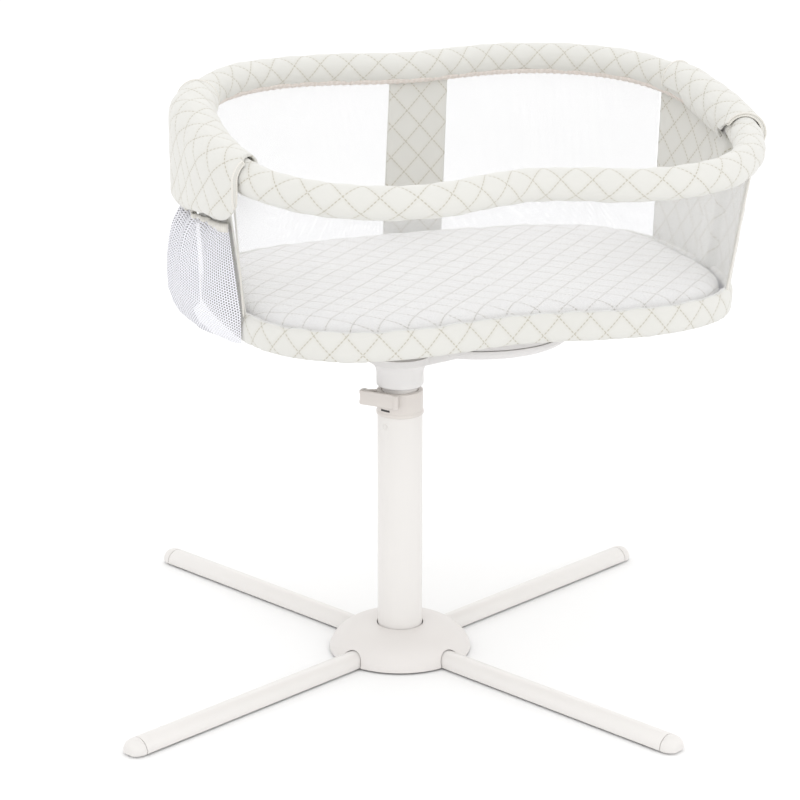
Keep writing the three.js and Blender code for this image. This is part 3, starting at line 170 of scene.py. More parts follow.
class Shader:
    """A material under construction, with one Principled shader."""

    def __init__(self, name: str) -> None:
        """Starts an empty material.

        Args:
            name: The material's name.
        """
        self.material = bpy.data.materials.new(name)
        self.material.use_nodes = True
        self.tree = self.material.node_tree
        self.tree.nodes.clear()
        self.surface = self.tree.nodes.new("ShaderNodeBsdfPrincipled")
        output = self.tree.nodes.new("ShaderNodeOutputMaterial")
        self.tree.links.new(self.surface.outputs[0], output.inputs["Surface"])
        self.place = self.add("ShaderNodeTexCoord", {})

    def add(self, kind: str, settings: dict[str, object], *inputs: object, **named: object) -> bpy.types.Node:
        """Adds a node.

        Args:
            kind: The node's type.
            settings: Its settings, set before its sockets.
            inputs: Values or links for its first sockets, in order.
            named: Values or links by socket name, with underscores for spaces.

        Returns:
            The node.
        """
        node = self.tree.nodes.new(kind)
        for key, setting in settings.items():
            setattr(node, key, setting)
        pairs = [(node.inputs[i], item) for i, item in enumerate(inputs)]
        pairs += [(node.inputs[key.replace("_", " ")], item) for key, item in named.items()]
        for socket, item in pairs:
            self.feed(socket, item)
        return node

    def feed(self, socket: bpy.types.NodeSocket, item: object) -> None:
        """Links or sets one socket."""
        if isinstance(item, Value):
            item = item.socket
        if isinstance(item, bpy.types.NodeSocket):
            self.tree.links.new(item, socket)
        else:
            socket.default_value = item

    def split(self, vector: bpy.types.NodeSocket) -> tuple[Value, Value, Value]:
        """Splits a vector into three values."""
        parts = self.add("ShaderNodeSeparateXYZ", {}, vector)
        return tuple(Value(self, output) for output in parts.outputs)

    def cloud(
        self, scale: float, detail: float = 2.0, stretch: tuple[float, float, float] | None = None
    ) -> Value:
        """Soft noise over the piece, from 0 to 1.

        Args:
            scale: Blobs to the metre.
            detail: Finer layers.
            stretch: Scales along the axes, for streaks.

        Returns:
            The noise.
        """
        place = self.place.outputs["Object"]
        if stretch:
            place = self.add("ShaderNodeMapping", {}, place, Scale=stretch).outputs[0]
        made = self.add("ShaderNodeTexNoise", {}, Vector=place, Scale=scale, Detail=detail)
        return Value(self, made.outputs[0])

    def mix(self, share: Value, low: object, high: object) -> bpy.types.NodeSocket:
        """Mixes two colours.

        Args:
            share: How much of the second colour.
            low: The first colour or its socket.
            high: The second colour or its socket.

        Returns:
            The mixed colour's socket.
        """
        node = self.add("ShaderNodeMix", {"data_type": "RGBA"})
        for index, item in ((0, share), (6, low), (7, high)):
            self.feed(node.inputs[index], item)
        return node.outputs[2]

    def bump(self, height: Value, depth: float) -> None:
        """Feeds a Bump node into the surface's normal.

        Args:
            height: The relief, about 0 to 1.
            depth: What 1 is worth, in metres.
        """
        node = self.add("ShaderNodeBump", {}, Strength=1.0, Distance=depth, Height=height)
        self.feed(self.surface.inputs["Normal"], node.outputs[0])

    def constants(self, **values: object) -> None:
        """Sets the surface's own sockets, with underscores for spaces."""
        for key, value in values.items():
            self.surface.inputs[key.replace("_", " ")].default_value = value


# ---------------------------------------------------------------- finishes


@dataclass(frozen=True)
class Moulded:
    """Painted metal or moulded plastic with a faint grain."""

    name: str
    colour: tuple[float, float, float, float]
    roughness: float = 0.4
    grain: float = 900.0
    relief: float = 0.00003
    metallic: float = 0.0
    coat: float = 0.0

    def make(self) -> bpy.types.Material:
        """Builds the material."""
        shader = Shader(self.name)
        tone = shader.cloud(6.0)
        shade = tuple(c * 0.965 for c in self.colour[:3]) + (1.0,)
        shader.feed(shader.surface.inputs["Base Color"], shader.mix(tone, shade, self.colour))
        shader.feed(shader.surface.inputs["Roughness"], shader.cloud(40.0) * 0.08 + (self.roughness - 0.04))
        shader.constants(Metallic=self.metallic, Coat_Weight=self.coat, Coat_Roughness=0.2)
        shader.bump(shader.cloud(self.grain), self.relief)
        return shader.material


@dataclass(frozen=True)
class Steel:
    """Bright drawn steel of rods, pins and springs."""

    name: str
    colour: tuple[float, float, float, float]

    def make(self) -> bpy.types.Material:
        """Builds the material."""
        shader = Shader(self.name)
        streaks = shader.cloud(300.0, 3.0, (1.0, 1.0, 0.05))
        shade = tuple(c * 0.85 for c in self.colour[:3]) + (1.0,)
        shader.feed(shader.surface.inputs["Base Color"], shader.mix(streaks, shade, self.colour))
        shader.feed(shader.surface.inputs["Roughness"], streaks * 0.18 + 0.26)
        shader.constants(Metallic=0.9)
        shader.bump(streaks, 0.00002)
        return shader.material


@dataclass(frozen=True)
class Timber:
    """Pressed board of the bed's floor."""

    name: str
    colour: tuple[float, float, float, float]

    def make(self) -> bpy.types.Material:
        """Builds the material."""
        shader = Shader(self.name)
        flecks = shader.cloud(260.0, 4.0, (1.0, 0.35, 1.0))
        shade = tuple(c * 0.7 for c in self.colour[:3]) + (1.0,)
        shader.feed(shader.surface.inputs["Base Color"], shader.mix(flecks, shade, self.colour))
        shader.constants(Roughness=0.75)
        shader.bump(flecks, 0.0002)
        return shader.material


@dataclass(frozen=True)
class Lattice:
    """The diamond layout of the quilting, shared by shapes and materials."""

    width: float = 0.050
    height: float = 0.055
    fullness: float = 0.55

    @property
    def spacing(self) -> float:
        """Distance between neighbouring stitch lines of one family."""
        return self.width * self.height / math.hypot(self.width, self.height)

    @property
    def run(self) -> float:
        """Change of one family's count along a metre of the other's line."""
        return 2 / math.hypot(self.width, self.height)

    def relief(self, u: np.ndarray, v: np.ndarray) -> np.ndarray:
        """Fullness of the wadding at cloth positions, 0 on a stitch line and 1 in a diamond's middle."""
        first = np.abs(np.sin(math.pi * (u / self.width + v / self.height)))
        second = np.abs(np.sin(math.pi * (u / self.width - v / self.height)))
        return (first * second) ** self.fullness


LATTICE = Lattice()


@dataclass(frozen=True)
class QuiltedCotton:
    """Ivory cotton quilted in diamonds with a tan running stitch."""

    name: str
    colour: tuple[float, float, float, float]
    thread: tuple[float, float, float, float]
    strength: float = 0.75
    stitch_width: float = 0.0010
    stitch_length: float = 0.0068
    stitch_share: float = 0.6

    def _family(self, across: Value, along: Value) -> tuple[Value, Value]:
        """One family of stitch lines.

        Args:
            across: Counts the family's lines.
            along: Counts the other family's lines.

        Returns:
            The stitch mask and the distance to the nearest line in metres.
        """
        near = (0.5 - abs(across.fraction() - 0.5)) * LATTICE.spacing
        line = (1.6 - near * (1.6 / self.stitch_width)).clamped()
        step = (along * (1 / (LATTICE.run * self.stitch_length))).fraction()
        dash = ((self.stitch_share / 2 - abs(step - 0.5)) * 9.0 + 0.5).clamped()
        return line * dash, near

    def make(self) -> bpy.types.Material:
        """Builds the material."""
        shader = Shader(self.name)
        u, v, _ = shader.split(shader.place.outputs["UV"])
        first = u * (1 / LATTICE.width) + v * (1 / LATTICE.height) + 40.0
        second = u * (1 / LATTICE.width) - v * (1 / LATTICE.height) + 40.0
        stitch_a, near_a = self._family(first, second)
        stitch_b, near_b = self._family(second, first)
        stitch = stitch_a.most(stitch_b)
        valley = (1.0 - near_a.least(near_b) * (1 / 0.006)).clamped()
        weave = (u * (TURN / 0.0011)).cosine() * (v * (TURN / 0.0011)).cosine()
        pucker = shader.cloud(230.0, 2.0)
        tone = shader.cloud(16.0, 3.0)
        shade = tuple(c * 0.955 for c in self.colour[:3]) + (1.0,)
        cloth = shader.mix(tone, shade, self.colour)
        # The cloth is painted darker along the stitch valleys: painted shade in the quilting's creases.
        valley_painted_shade = tuple(c * k for c, k in zip(self.colour[:3], (0.90, 0.885, 0.85))) + (1.0,)
        cloth = shader.mix(valley * 0.45, cloth, valley_painted_shade)
        shader.feed(
            shader.surface.inputs["Base Color"], shader.mix(stitch * self.strength, cloth, self.thread)
        )
        shader.constants(Roughness=0.92, Sheen_Weight=0.25, Sheen_Roughness=0.6, Specular_IOR_Level=0.25)
        height = weave * 0.05 + pucker * (valley * 0.6 + 0.12) - valley * 0.5 + stitch * 0.25
        shader.bump(height, 0.0008)
        return shader.material


@dataclass(frozen=True)
class PlainCotton:
    """Bias tape, piping and hems, ribbed by their gathering."""

    name: str
    colour: tuple[float, float, float, float]
    rib: float = 0.0032

    def make(self) -> bpy.types.Material:
        """Builds the material."""
        shader = Shader(self.name)
        u, v, _ = shader.split(shader.place.outputs["UV"])
        wander = shader.cloud(60.0)
        rib = ((u * (TURN / self.rib)) + wander * 5.0).cosine() * 0.5 + 0.5
        shade = tuple(c * k for c, k in zip(self.colour[:3], (0.90, 0.87, 0.84))) + (1.0,)
        # The cloth is painted darker in the troughs of the gathers: painted shade in the folds.
        shader.feed(shader.surface.inputs["Base Color"], shader.mix(rib * 0.55, self.colour, shade))
        shader.constants(Roughness=0.9, Sheen_Weight=0.2, Specular_IOR_Level=0.25)
        shader.bump(rib * 0.6 + (v * (TURN / 0.0011)).cosine() * 0.1, 0.0004)
        return shader.material


@dataclass(frozen=True)
class Net:
    """Warp-knitted net with round holes in staggered rows."""

    name: str
    colour: tuple[float, float, float, float]
    depth_colour: tuple[float, float, float, float]
    pitch: float
    open_level: float
    clear: float

    def make(self) -> bpy.types.Material:
        """Builds the material."""
        shader = Shader(self.name)
        u, v, _ = shader.split(shader.place.outputs["UV"])
        turns = TURN / (self.pitch * math.cos(math.pi / 6))
        waves = [u * (turns * math.cos(a)) + v * (turns * math.sin(a)) for a in (0.0, TURN / 3, 2 * TURN / 3)]
        total = waves[0].cosine() + waves[1].cosine() + waves[2].cosine()
        hole = ((total - self.open_level) * 1.6 + 0.5).clamped()
        shader.feed(shader.surface.inputs["Alpha"], 1.0 - hole * (1 - self.clear))
        tone = shader.cloud(30.0)
        shade = tuple(c * 0.94 for c in self.colour[:3]) + (1.0,)
        yarn = shader.mix(tone, shade, self.colour)
        # Holes take the second colour: on the pocket net a dark grey painted shade, for the shaded panel seen
        # through the net.
        shader.feed(shader.surface.inputs["Base Color"], shader.mix(hole, yarn, self.depth_colour))
        shader.constants(Roughness=0.85, Sheen_Weight=0.15, Specular_IOR_Level=0.2)
        shader.bump(1.0 - hole, 0.0003)
        return shader.material


class Finish(Enum):
    """Every finish on the bassinet."""

    PAINT = Moulded("warm_white_paint", linear(229, 226, 223), 0.36, 700.0, 0.00002, coat=0.15)
    HUB = Moulded("hub_plastic", linear(224, 220, 217), 0.42, 900.0, 0.00002)
    CAP = Moulded("cap_plastic", linear(227, 224, 221), 0.45, 1100.0, 0.00003)
    ARM = Moulded("arm_plastic", linear(228, 226, 225), 0.5, 1300.0, 0.00005)
    CLAMP = Moulded("clamp_plastic", linear(217, 211, 206), 0.34, 900.0, 0.00002, coat=0.2)
    FRAME = Moulded("frame_paint", linear(190, 190, 188), 0.4, 800.0, 0.00003, metallic=0.3)
    # Dark rubber of the feet; also the painted shade in the plug's gap and in the collar's slot.
    RUBBER = Moulded("foot_rubber", linear(74, 73, 72), 0.85, 1500.0, 0.0001)
    STEEL = Steel("fixing_steel", linear(205, 205, 202))
    BOARD = Timber("floor_board", linear(206, 203, 198))
    QUILT = QuiltedCotton("quilted_cotton", linear(221, 220, 215), linear(172, 165, 145), 0.78)
    SHEET = QuiltedCotton("sheet_cotton", linear(232, 231, 229), linear(150, 144, 130), 0.85, 0.0014)
    PIPING = PlainCotton("cream_piping", linear(230, 228, 222))
    TAPE = PlainCotton("seam_tape", linear(230, 222, 216), 0.009)
    WALL_NET = Net("wall_net", linear(243, 243, 246), linear(243, 243, 246), 0.0023, -1.0, 0.10)
    # The pocket net's dark grey hole colour is painted shade.
    POCKET_NET = Net("pocket_net", linear(244, 244, 250), linear(112, 112, 122), 0.0044, 0.35, 0.34)


MATERIALS: dict[Finish, bpy.types.Material] = {}


def material(finish: Finish) -> bpy.types.Material:
    """The one material of a finish, built when it is first asked for."""
    if finish not in MATERIALS:
        MATERIALS[finish] = finish.value.make()
    return MATERIALS[finish]


# ---------------------------------------------------------------- placing pieces


def dress(
    piece: bpy.types.Object, finish: Finish, slot: str, body: str | None, *replaced: str
) -> bpy.types.Object:
    """Gives a piece its finish and the body it rides on, and hides the CAD nodes it stands for.

    Args:
        piece: The finished object.
        finish: Its finish.
        slot: The record's material slot; not used.
        body: The body it rides on, or None where it lies between two and rides on neither.
        replaced: CAD nodes that it replaces.

    Returns:
        The piece.
    """
    piece.data.materials.clear()
    piece.data.materials.append(material(finish))
    if body:
        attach(piece, body)
    if replaced:
        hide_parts(*replaced)
    LOG.info("%s: %d faces", piece.name, len(piece.data.polygons))
    return piece


# ---------------------------------------------------------------- modelling by hand


class Bench:
    """Modelling steps shared by the rigid pieces."""

    @staticmethod
    def clear() -> None:
        """Leaves edit mode and deselects everything."""
        if bpy.context.object and bpy.context.object.mode != "OBJECT":
            bpy.ops.object.mode_set(mode="OBJECT")
        bpy.ops.object.select_all(action="DESELECT")

    @staticmethod
    def grab(piece: bpy.types.Object) -> None:
        """Makes one object the only selected and active one."""
        Bench.clear()
        piece.select_set(True)
        bpy.context.view_layer.objects.active = piece

    @staticmethod
    def edit() -> bmesh.types.BMesh:
        """Enters edit mode on the active object and returns its edit mesh."""
        bpy.ops.object.mode_set(mode="EDIT")
        return bmesh.from_edit_mesh(bpy.context.object.data)

    @staticmethod
    def push(x: float, y: float, z: float) -> None:
        """Extrudes the selection by a step."""
        bpy.ops.mesh.extrude_region_move(TRANSFORM_OT_translate={"value": (x, y, z)})

    @staticmethod
    def settle(piece: bpy.types.Object, name: str, angle: float = 32.0) -> bpy.types.Object:
        """Applies an object's place, mends its normals and smooths it by angle.

        Args:
            piece: The object.
            name: The piece's name.
            angle: Faces that meet at less than this many degrees are smoothed.

        Returns:
            The finished object.
        """
        Bench.grab(piece)
        piece.name = name
        piece.data.name = name
        bpy.ops.object.transform_apply(location=True, rotation=True, scale=True)
        bpy.ops.object.mode_set(mode="EDIT")
        bpy.ops.mesh.select_all(action="SELECT")
        bpy.ops.mesh.remove_doubles(threshold=0.000005)
        bpy.ops.mesh.normals_make_consistent(inside=False)
        bpy.ops.object.mode_set(mode="OBJECT")
        bpy.ops.object.shade_smooth_by_angle(angle=math.radians(angle))
        return piece

    @staticmethod
    def modify(piece: bpy.types.Object, kind: str, **settings: object) -> None:
        """Adds a modifier and applies it."""
        Bench.grab(piece)
        modifier = piece.modifiers.new(kind.lower(), kind)
        for key, setting in settings.items():
            setattr(modifier, key, setting)
        bpy.ops.object.modifier_apply(modifier=modifier.name)

    @staticmethod
    def cut(
        piece: bpy.types.Object, tools: Sequence[bpy.types.Object], operation: str = "DIFFERENCE"
    ) -> None:
        """Cuts tools out of a piece, or joins them to it, and removes them."""
        for tool in tools:
            Bench.modify(piece, "BOOLEAN", object=tool, operation=operation, solver="EXACT")
            bpy.data.objects.remove(tool)

    @staticmethod
    def bevel(piece: bpy.types.Object, width: float, segments: int = 2, angle: float = 40.0) -> None:
        """Rounds the edges sharper than an angle."""
        Bench.modify(
            piece,
            "BEVEL",
            width=width,
            segments=segments,
            limit_method="ANGLE",
            angle_limit=math.radians(angle),
            harden_normals=False,
        )

    @staticmethod
    def join(pieces: Sequence[bpy.types.Object]) -> bpy.types.Object:
        """Joins objects into the first."""
        Bench.grab(pieces[0])
        for other in pieces[1:]:
            other.select_set(True)
        bpy.ops.object.join()
        return pieces[0]

    @staticmethod
    def copy(piece: bpy.types.Object, azimuth: float) -> bpy.types.Object:
        """Copies an object with its own mesh, turned about the column."""
        twin = piece.copy()
        twin.data = piece.data.copy()
        bpy.context.scene.collection.objects.link(twin)
        twin.rotation_euler = (0, 0, azimuth)
        return twin

    @staticmethod
    def lathe(
        profile: Sequence[tuple[float, float]],
        segments: int,
        centre: tuple[float, float] = (0.0, 0.0),
        hollow: bool = False,
    ) -> bpy.types.Object:
        """Grows a round piece from a circle by extruding and scaling its rim.

        Args:
            profile: (radius, height) pairs in metres from the start ring to the last.
            segments: Facets round the piece.
            centre: The axis in plan.
            hollow: Whether the last ring joins the first one, as on a tube.

        Returns:
            The object, not yet settled.
        """
        Bench.clear()
        radius, height = profile[0]
        bpy.ops.mesh.primitive_circle_add(vertices=segments, radius=radius, location=(*centre, height))
        piece = bpy.context.object
        Bench.edit()
        bpy.ops.mesh.select_all(action="SELECT")
        if not hollow:
            bpy.ops.mesh.edge_face_add()
            bpy.ops.mesh.select_all(action="DESELECT")
            mesh = bmesh.from_edit_mesh(piece.data)
            for edge in mesh.edges:
                edge.select_set(True)
            mesh.faces.ensure_lookup_table()
            mesh.faces[0].select_set(False)
            for edge in mesh.edges:
                edge.select_set(True)
            bmesh.update_edit_mesh(piece.data)
        bpy.context.tool_settings.mesh_select_mode = (False, True, False)
        for new_radius, new_height in profile[1:]:
            bpy.ops.mesh.extrude_edges_move(TRANSFORM_OT_translate={"value": (0, 0, new_height - height)})
            if abs(new_radius - radius) > 1e-7:
                share = new_radius / radius
                spot = (*centre, new_height)
                bpy.ops.transform.resize(value=(share, share, 1), center_override=spot)
            radius, height = new_radius, new_height
        if hollow:
            bpy.ops.mesh.select_all(action="DESELECT")
            bpy.ops.mesh.select_non_manifold()
            bpy.ops.mesh.bridge_edge_loops()
        else:
            bpy.ops.mesh.edge_face_add()
        bpy.ops.object.mode_set(mode="OBJECT")
        return piece

    @staticmethod
    def box(
        low: Sequence[float], high: Sequence[float], bevel: float = 0.0, segments: int = 3
    ) -> bpy.types.Object:
        """A cube stretched between two corners with its edges rounded."""
        Bench.clear()
        middle = [(a + b) / 2 for a, b in zip(low, high)]
        bpy.ops.mesh.primitive_cube_add(size=1, location=middle)
        piece = bpy.context.object
        piece.scale = [b - a for a, b in zip(low, high)]
        bpy.ops.object.transform_apply(location=True, rotation=True, scale=True)
        if bevel:
            Bench.bevel(piece, bevel, segments, 30.0)
        return piece


# ---------------------------------------------------------------- the stand


@dataclass
class Stand:
    """Hub, legs, column and clamp collar."""

    leg_reach: float = 0.578
    leg_width: float = 0.040
    leg_height: float = 0.021
    leg_floor: float = 0.0033
    cap_length: float = 0.022
    seam: float = 0.0006
    shadow: float = 0.0014
    hub_radius: float = 0.115
    hub_height: float = 0.047
    column_radius: float = 0.036
    column_top: float = 0.4032
    plug_radius: float = 0.0054
    plug_gap: float = 0.0012
    slot_azimuth: float = math.radians(-131)
    azimuths: tuple[float, ...] = tuple(math.radians(45 + 90 * i) for i in range(4))

    def _arch(self, start: float, grow: float) -> bpy.types.Object:
        """The half-round section of a leg as an open edge chain, standing at a distance from the column."""
        Bench.clear()
        half = self.leg_width / 2 + grow
        height = self.leg_height * 0.85 + grow
        spring = self.leg_floor + self.leg_height * 0.15
        bpy.ops.mesh.primitive_circle_add(vertices=48, radius=1.0, location=(start, 0, spring))
        piece = bpy.context.object
        piece.rotation_euler = (math.pi / 2, 0, math.pi / 2)
        piece.scale = (half, height, 1)
        bpy.ops.object.transform_apply(location=True, rotation=True, scale=True)
        Bench.edit()
        bpy.ops.mesh.select_all(action="SELECT")
        bpy.ops.mesh.bisect(plane_co=(start, 0, spring - 1e-5), plane_no=(0, 0, 1), clear_inner=True)
        bpy.ops.mesh.select_all(action="DESELECT")
        mesh = bmesh.from_edit_mesh(piece.data)
        bpy.context.tool_settings.mesh_select_mode = (True, False, False)
        for vertex in mesh.verts:
            vertex.select_set(vertex.co.z < spring + 1e-4)
        bmesh.update_edit_mesh(piece.data)
        bpy.ops.mesh.extrude_vertices_move(TRANSFORM_OT_translate={"value": (0, 0, self.leg_floor - spring)})
        return piece

    def _leg(self) -> bpy.types.Object:
        """One leg along +X: an arch section run out along the leg and given its wall."""
        start = self.hub_radius * 0.55
        piece = self._arch(start, 0.0)
        bpy.ops.mesh.select_all(action="SELECT")
        bpy.context.tool_settings.mesh_select_mode = (False, True, False)
        Bench.push(self.leg_reach - self.cap_length - self.seam - start, 0, 0)
        bpy.ops.mesh.select_all(action="SELECT")
        bpy.ops.mesh.normals_make_consistent(inside=False)
        bpy.ops.object.mode_set(mode="OBJECT")
        Bench.modify(piece, "SOLIDIFY", thickness=0.0025, offset=-1.0)
        Bench.bevel(piece, 0.0006, 2, 50.0)
        return piece

    def _cap(self) -> bpy.types.Object:
        """The rounded end cap of a leg along +X."""
        start = self.leg_reach - self.cap_length + self.seam
        piece = self._arch(start, 0.0)
        bpy.ops.mesh.select_all(action="SELECT")
        bpy.ops.mesh.edge_face_add()
        length = self.leg_reach - start
        before, travelled = 1.0, 0.0
        for share in (0.02, 0.25, 0.45, 0.6, 0.72, 0.82, 0.9, 0.96, 1.0):
            size = math.sqrt(1 - (share * 0.93) ** 2.8)
            Bench.push(length * (share - travelled), 0, 0)
            spot = (start + length * share, 0, self.leg_floor)
            step = size / before
            bpy.ops.transform.resize(value=(1, step, 0.35 + 0.65 * step), center_override=spot)
            before, travelled = size, share
        bpy.ops.object.mode_set(mode="OBJECT")
        Bench.bevel(piece, 0.0005, 2, 60.0)
        return piece

    def _hub(self) -> bpy.types.Object:
        """The domed hub cover with a round gap at the column and arches over the legs."""
        inner = self.column_radius + self.shadow
        floor = self.leg_floor
        wall = 0.003
        steps = 22

        def dome(reach: float, rise: float) -> list[tuple[float, float]]:
            """Points down a dome from the column to the floor edge."""
            turns = [math.sin(i / steps * math.pi / 2) for i in range(1, steps + 1)]
            return [
                (inner + (reach - inner) * t, floor + (rise - floor) * max(1 - t**2.6, 0) ** 0.62)
                for t in turns
            ]

        lip = [(inner, self.hub_height - 0.0022), (inner + 0.0006, self.hub_height - 0.0006)]
        under = dome(self.hub_radius - wall, self.hub_height - wall)
        profile = [
            *lip, *dome(self.hub_radius, self.hub_height), *under[::-1], (inner, self.hub_height - wall)
        ]
        piece = Bench.lathe(profile, 128, hollow=True)
        tools = []
        for azimuth in self.azimuths:
            tool = self._arch(self.hub_radius * 0.5, self.shadow)
            bpy.ops.mesh.select_all(action="SELECT")
            bpy.ops.mesh.edge_face_add()
            Bench.push(self.hub_radius, 0, 0)
            bpy.ops.mesh.select_all(action="SELECT")
            bpy.ops.mesh.normals_make_consistent(inside=False)
            bpy.ops.object.mode_set(mode="OBJECT")
            tool.location.z = -0.0002
            tool.rotation_euler = (0, 0, azimuth)
            bpy.context.view_layer.update()
            tools.append(tool)
        Bench.settle(piece, "hub_dome")
        Bench.cut(piece, tools)
        return piece

    def _column(self) -> bpy.types.Object:
        """The painted outer column with a rolled top edge."""
        radius, top, wall = self.column_radius, self.column_top, 0.002
        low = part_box("column_outer")[0].z
        profile = [
            (radius - wall, low),
            (radius, low),
            (radius, top - 0.0008),
            (radius - 0.0002, top - 0.0002),
            (radius - 0.0008, top),
            (radius - wall, top),
        ]
        piece = Bench.settle(Bench.lathe(profile, 96, hollow=True), "column_tube")
        drill = Bench.lathe(
            [(self.plug_radius + self.plug_gap, 0.028), (self.plug_radius + self.plug_gap, 0.042)], 40
        )
        self._aim(drill, 0.028)
        Bench.cut(piece, [drill])
        return piece

    @staticmethod
    def _aim(piece: bpy.types.Object, start: float) -> None:
        """Turns a lathed piece out along the retaining plug's axis.

        Args:
            piece: The piece, with its axis upright.
            start: Distance of its first ring from the column's axis.
        """
        middle = (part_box("retaining_plug")[0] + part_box("retaining_plug")[1]) / 2
        azimuth = math.atan2(middle.y, middle.x)
        piece.rotation_euler = (0, math.pi / 2, azimuth)
        piece.location = (start * math.cos(azimuth), start * math.sin(azimuth), middle.z)
        bpy.context.view_layer.update()

    def _plug(self) -> bpy.types.Object:
        """The round retaining plug, with a fine groove inside its edge, and a dark ring of painted shade in
        the gap round it.
        """
        radius = self.plug_radius
        profile = [(radius, 0.0306), (radius, 0.0356), (radius - 0.0004, 0.0364), (radius - 0.0012, 0.0364)]
        profile += [
            (radius - 0.0015, 0.0359), (radius - 0.0019, 0.0359), (radius - 0.0022, 0.0365), (0.001, 0.0366)
        ]
        piece = Bench.lathe(profile, 40)
        # A dark ring down in the gap round the plug: painted shade for the shadow in the hole.
        gap_shade_profile = [
            (radius, 0.0320),
            (radius + self.plug_gap, 0.0320),
            (radius + self.plug_gap, 0.0338),
            (radius, 0.0338),
        ]
        ring = Bench.lathe(gap_shade_profile, 40, hollow=True)
        self._aim(ring, gap_shade_profile[0][1])
        dress(Bench.settle(ring, "plug_gap_shade"), Finish.RUBBER, "foot_rubber", "stand")
        self._aim(piece, profile[0][1])
        Bench.grab(piece)
        return piece

    def _collar(self) -> bpy.types.Object:
        """The split clamp collar with its bead and lugs, and a dark box of painted shade in its slot."""
        bore, body, bead = 0.0289, 0.0369, 0.038
        base = self.column_top + 0.0003
        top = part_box("clamp_collar")[1].z
        spigot, spigot_depth = 0.0335, 0.02
        profile = [
            (bore, base - spigot_depth),
            (spigot, base - spigot_depth),
            (spigot, base),
            (bead - 0.0009, base),
            (bead - 0.0002, base + 0.0006),
            (bead, base + 0.0016),
            (bead, base + 0.0046),
            (bead - 0.0003, base + 0.0058),
            (body + 0.0002, base + 0.0065),
            (body, base + 0.0072),
            (body, top - 0.0018),
            (body - 0.0005, top - 0.0005),
            (body - 0.0018, top),
            (bore + 0.0012, top),
            (bore, top - 0.0012),
        ]
        piece = Bench.lathe(profile, 96, hollow=True)
        Bench.settle(piece, "collar_shell")
        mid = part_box("clamp_lever")[0].z + 0.0115
        root, slit_half = -0.0325, 0.0015
        half = 0.0047
        near = Bench.box((LEVER_PIN[0], -0.0121, mid - half), (root, -slit_half, mid + half), 0.0009)
        far = Bench.box((-0.052, slit_half, mid - 0.0067), (root, 0.0105, mid + 0.0067), 0.0012)
        ends = [(0.0044, mid - half), (0.0046, mid - 0.0045), (0.0046, mid + 0.0045), (0.0044, mid + half)]
        knuckle = Bench.lathe(ends, 32, LEVER_PIN)
        slit = Bench.box((-0.039, -slit_half, base + 0.0065), (-0.027, slit_half, top + 0.001))
        pin = Bench.lathe([(0.0025, mid - 0.006), (0.0025, mid + 0.006)], 24, LEVER_PIN)
        Bench.cut(piece, [near, far, knuckle], "UNION")
        slot_half, slot_low, slot_high, shade_inset = 0.0088, base + 0.0094, base + 0.0130, 0.0001
        notch = Bench.box((0.0345, -slot_half, slot_low), (0.042, slot_half, slot_high))
        notch.rotation_euler = (0, 0, self.slot_azimuth)
        bpy.context.view_layer.update()
        Bench.cut(piece, [slit, pin, notch])
        # A thin dark box lines the notch: painted shade for the shadow inside the slot.
        low = (0.0350, shade_inset - slot_half, slot_low + shade_inset)
        shade = Bench.box(low, (0.0362, slot_half - shade_inset, slot_high - shade_inset), 0.0002)
        shade.rotation_euler = (0, 0, self.slot_azimuth)
        dress(Bench.settle(shade, "collar_slot_shade"), Finish.RUBBER, "foot_rubber", "stand")
        return piece

    def build(self) -> None:
        """Models the stand's pieces, dresses them and hides the CAD nodes they replace."""
        leg, cap = self._leg(), self._cap()
        for number, azimuth in enumerate(self.azimuths, 1):
            for master, node, finish, slot in (
                (leg, "leg", Finish.PAINT, "leg_paint"),
                (cap, "leg_cap", Finish.CAP, "cap_plastic"),
            ):
                piece = Bench.settle(Bench.copy(master, azimuth), f"{node}_shell_{number}")
                dress(piece, finish, slot, "stand", f"{node}_{number}")
        for master in (leg, cap):
            bpy.data.objects.remove(master)
        dress(Bench.settle(self._hub(), "hub_dome", 40), Finish.HUB, "hub_plastic", "stand", "hub_cover")
        dress(
            Bench.settle(self._column(), "column_shell"), Finish.PAINT, "leg_paint", "stand", "column_outer"
        )
        dress(Bench.settle(self._plug(), "plug_button"), Finish.CAP, "cap_plastic", "stand", "retaining_plug")
        dress(
            Bench.settle(self._collar(), "collar_shell"),
            Finish.CLAMP,
            "clamp_plastic",
            "stand",
            "clamp_collar",
        )


@dataclass
class Lever:
    """The over-centre clamp lever."""

    slant: float = math.radians(-28.4)
    length: float = 0.064
    offset: float = 0.005
    thickness: float = 0.0045
    lip: float = 0.0016

    def build(self) -> None:
        """Models the lever: a plate with a raised thumb ridge and two knuckles on the pin."""
        low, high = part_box("clamp_lever")
        bottom, top = low.z, high.z
        back, face = -self.offset, -self.offset - self.thickness
        plate = Bench.box((-0.0035, face, bottom), (self.length, back, top), 0.0012, 4)
        ridge = Bench.box(
            (self.length - 0.0075, face - self.lip, bottom + 0.0003),
            (self.length, back - 0.001, top - 0.0003),
            0.0014,
            4,
        )
        parts = [plate, ridge]
        middle = (bottom + top) / 2
        for from_z, to_z in ((bottom, middle - 0.0051), (middle + 0.0051, top)):
            parts.append(
                Bench.lathe(
                    [(0.0056, from_z), (0.006, from_z + 0.0005), (0.006, to_z - 0.0005), (0.0056, to_z)], 36
                ),
            )
            parts.append(
                Bench.box((-0.0054, -0.0072, from_z + 0.0002), (0.0078, -0.0005, to_z - 0.0002), 0.0006)
            )
        piece = Bench.join(parts)
        piece.rotation_euler = (0, 0, self.slant)
        piece.location = (*LEVER_PIN, 0)
        dress(Bench.settle(piece, "lever_shell"), Finish.CLAMP, "clamp_plastic", "lever", "clamp_lever")


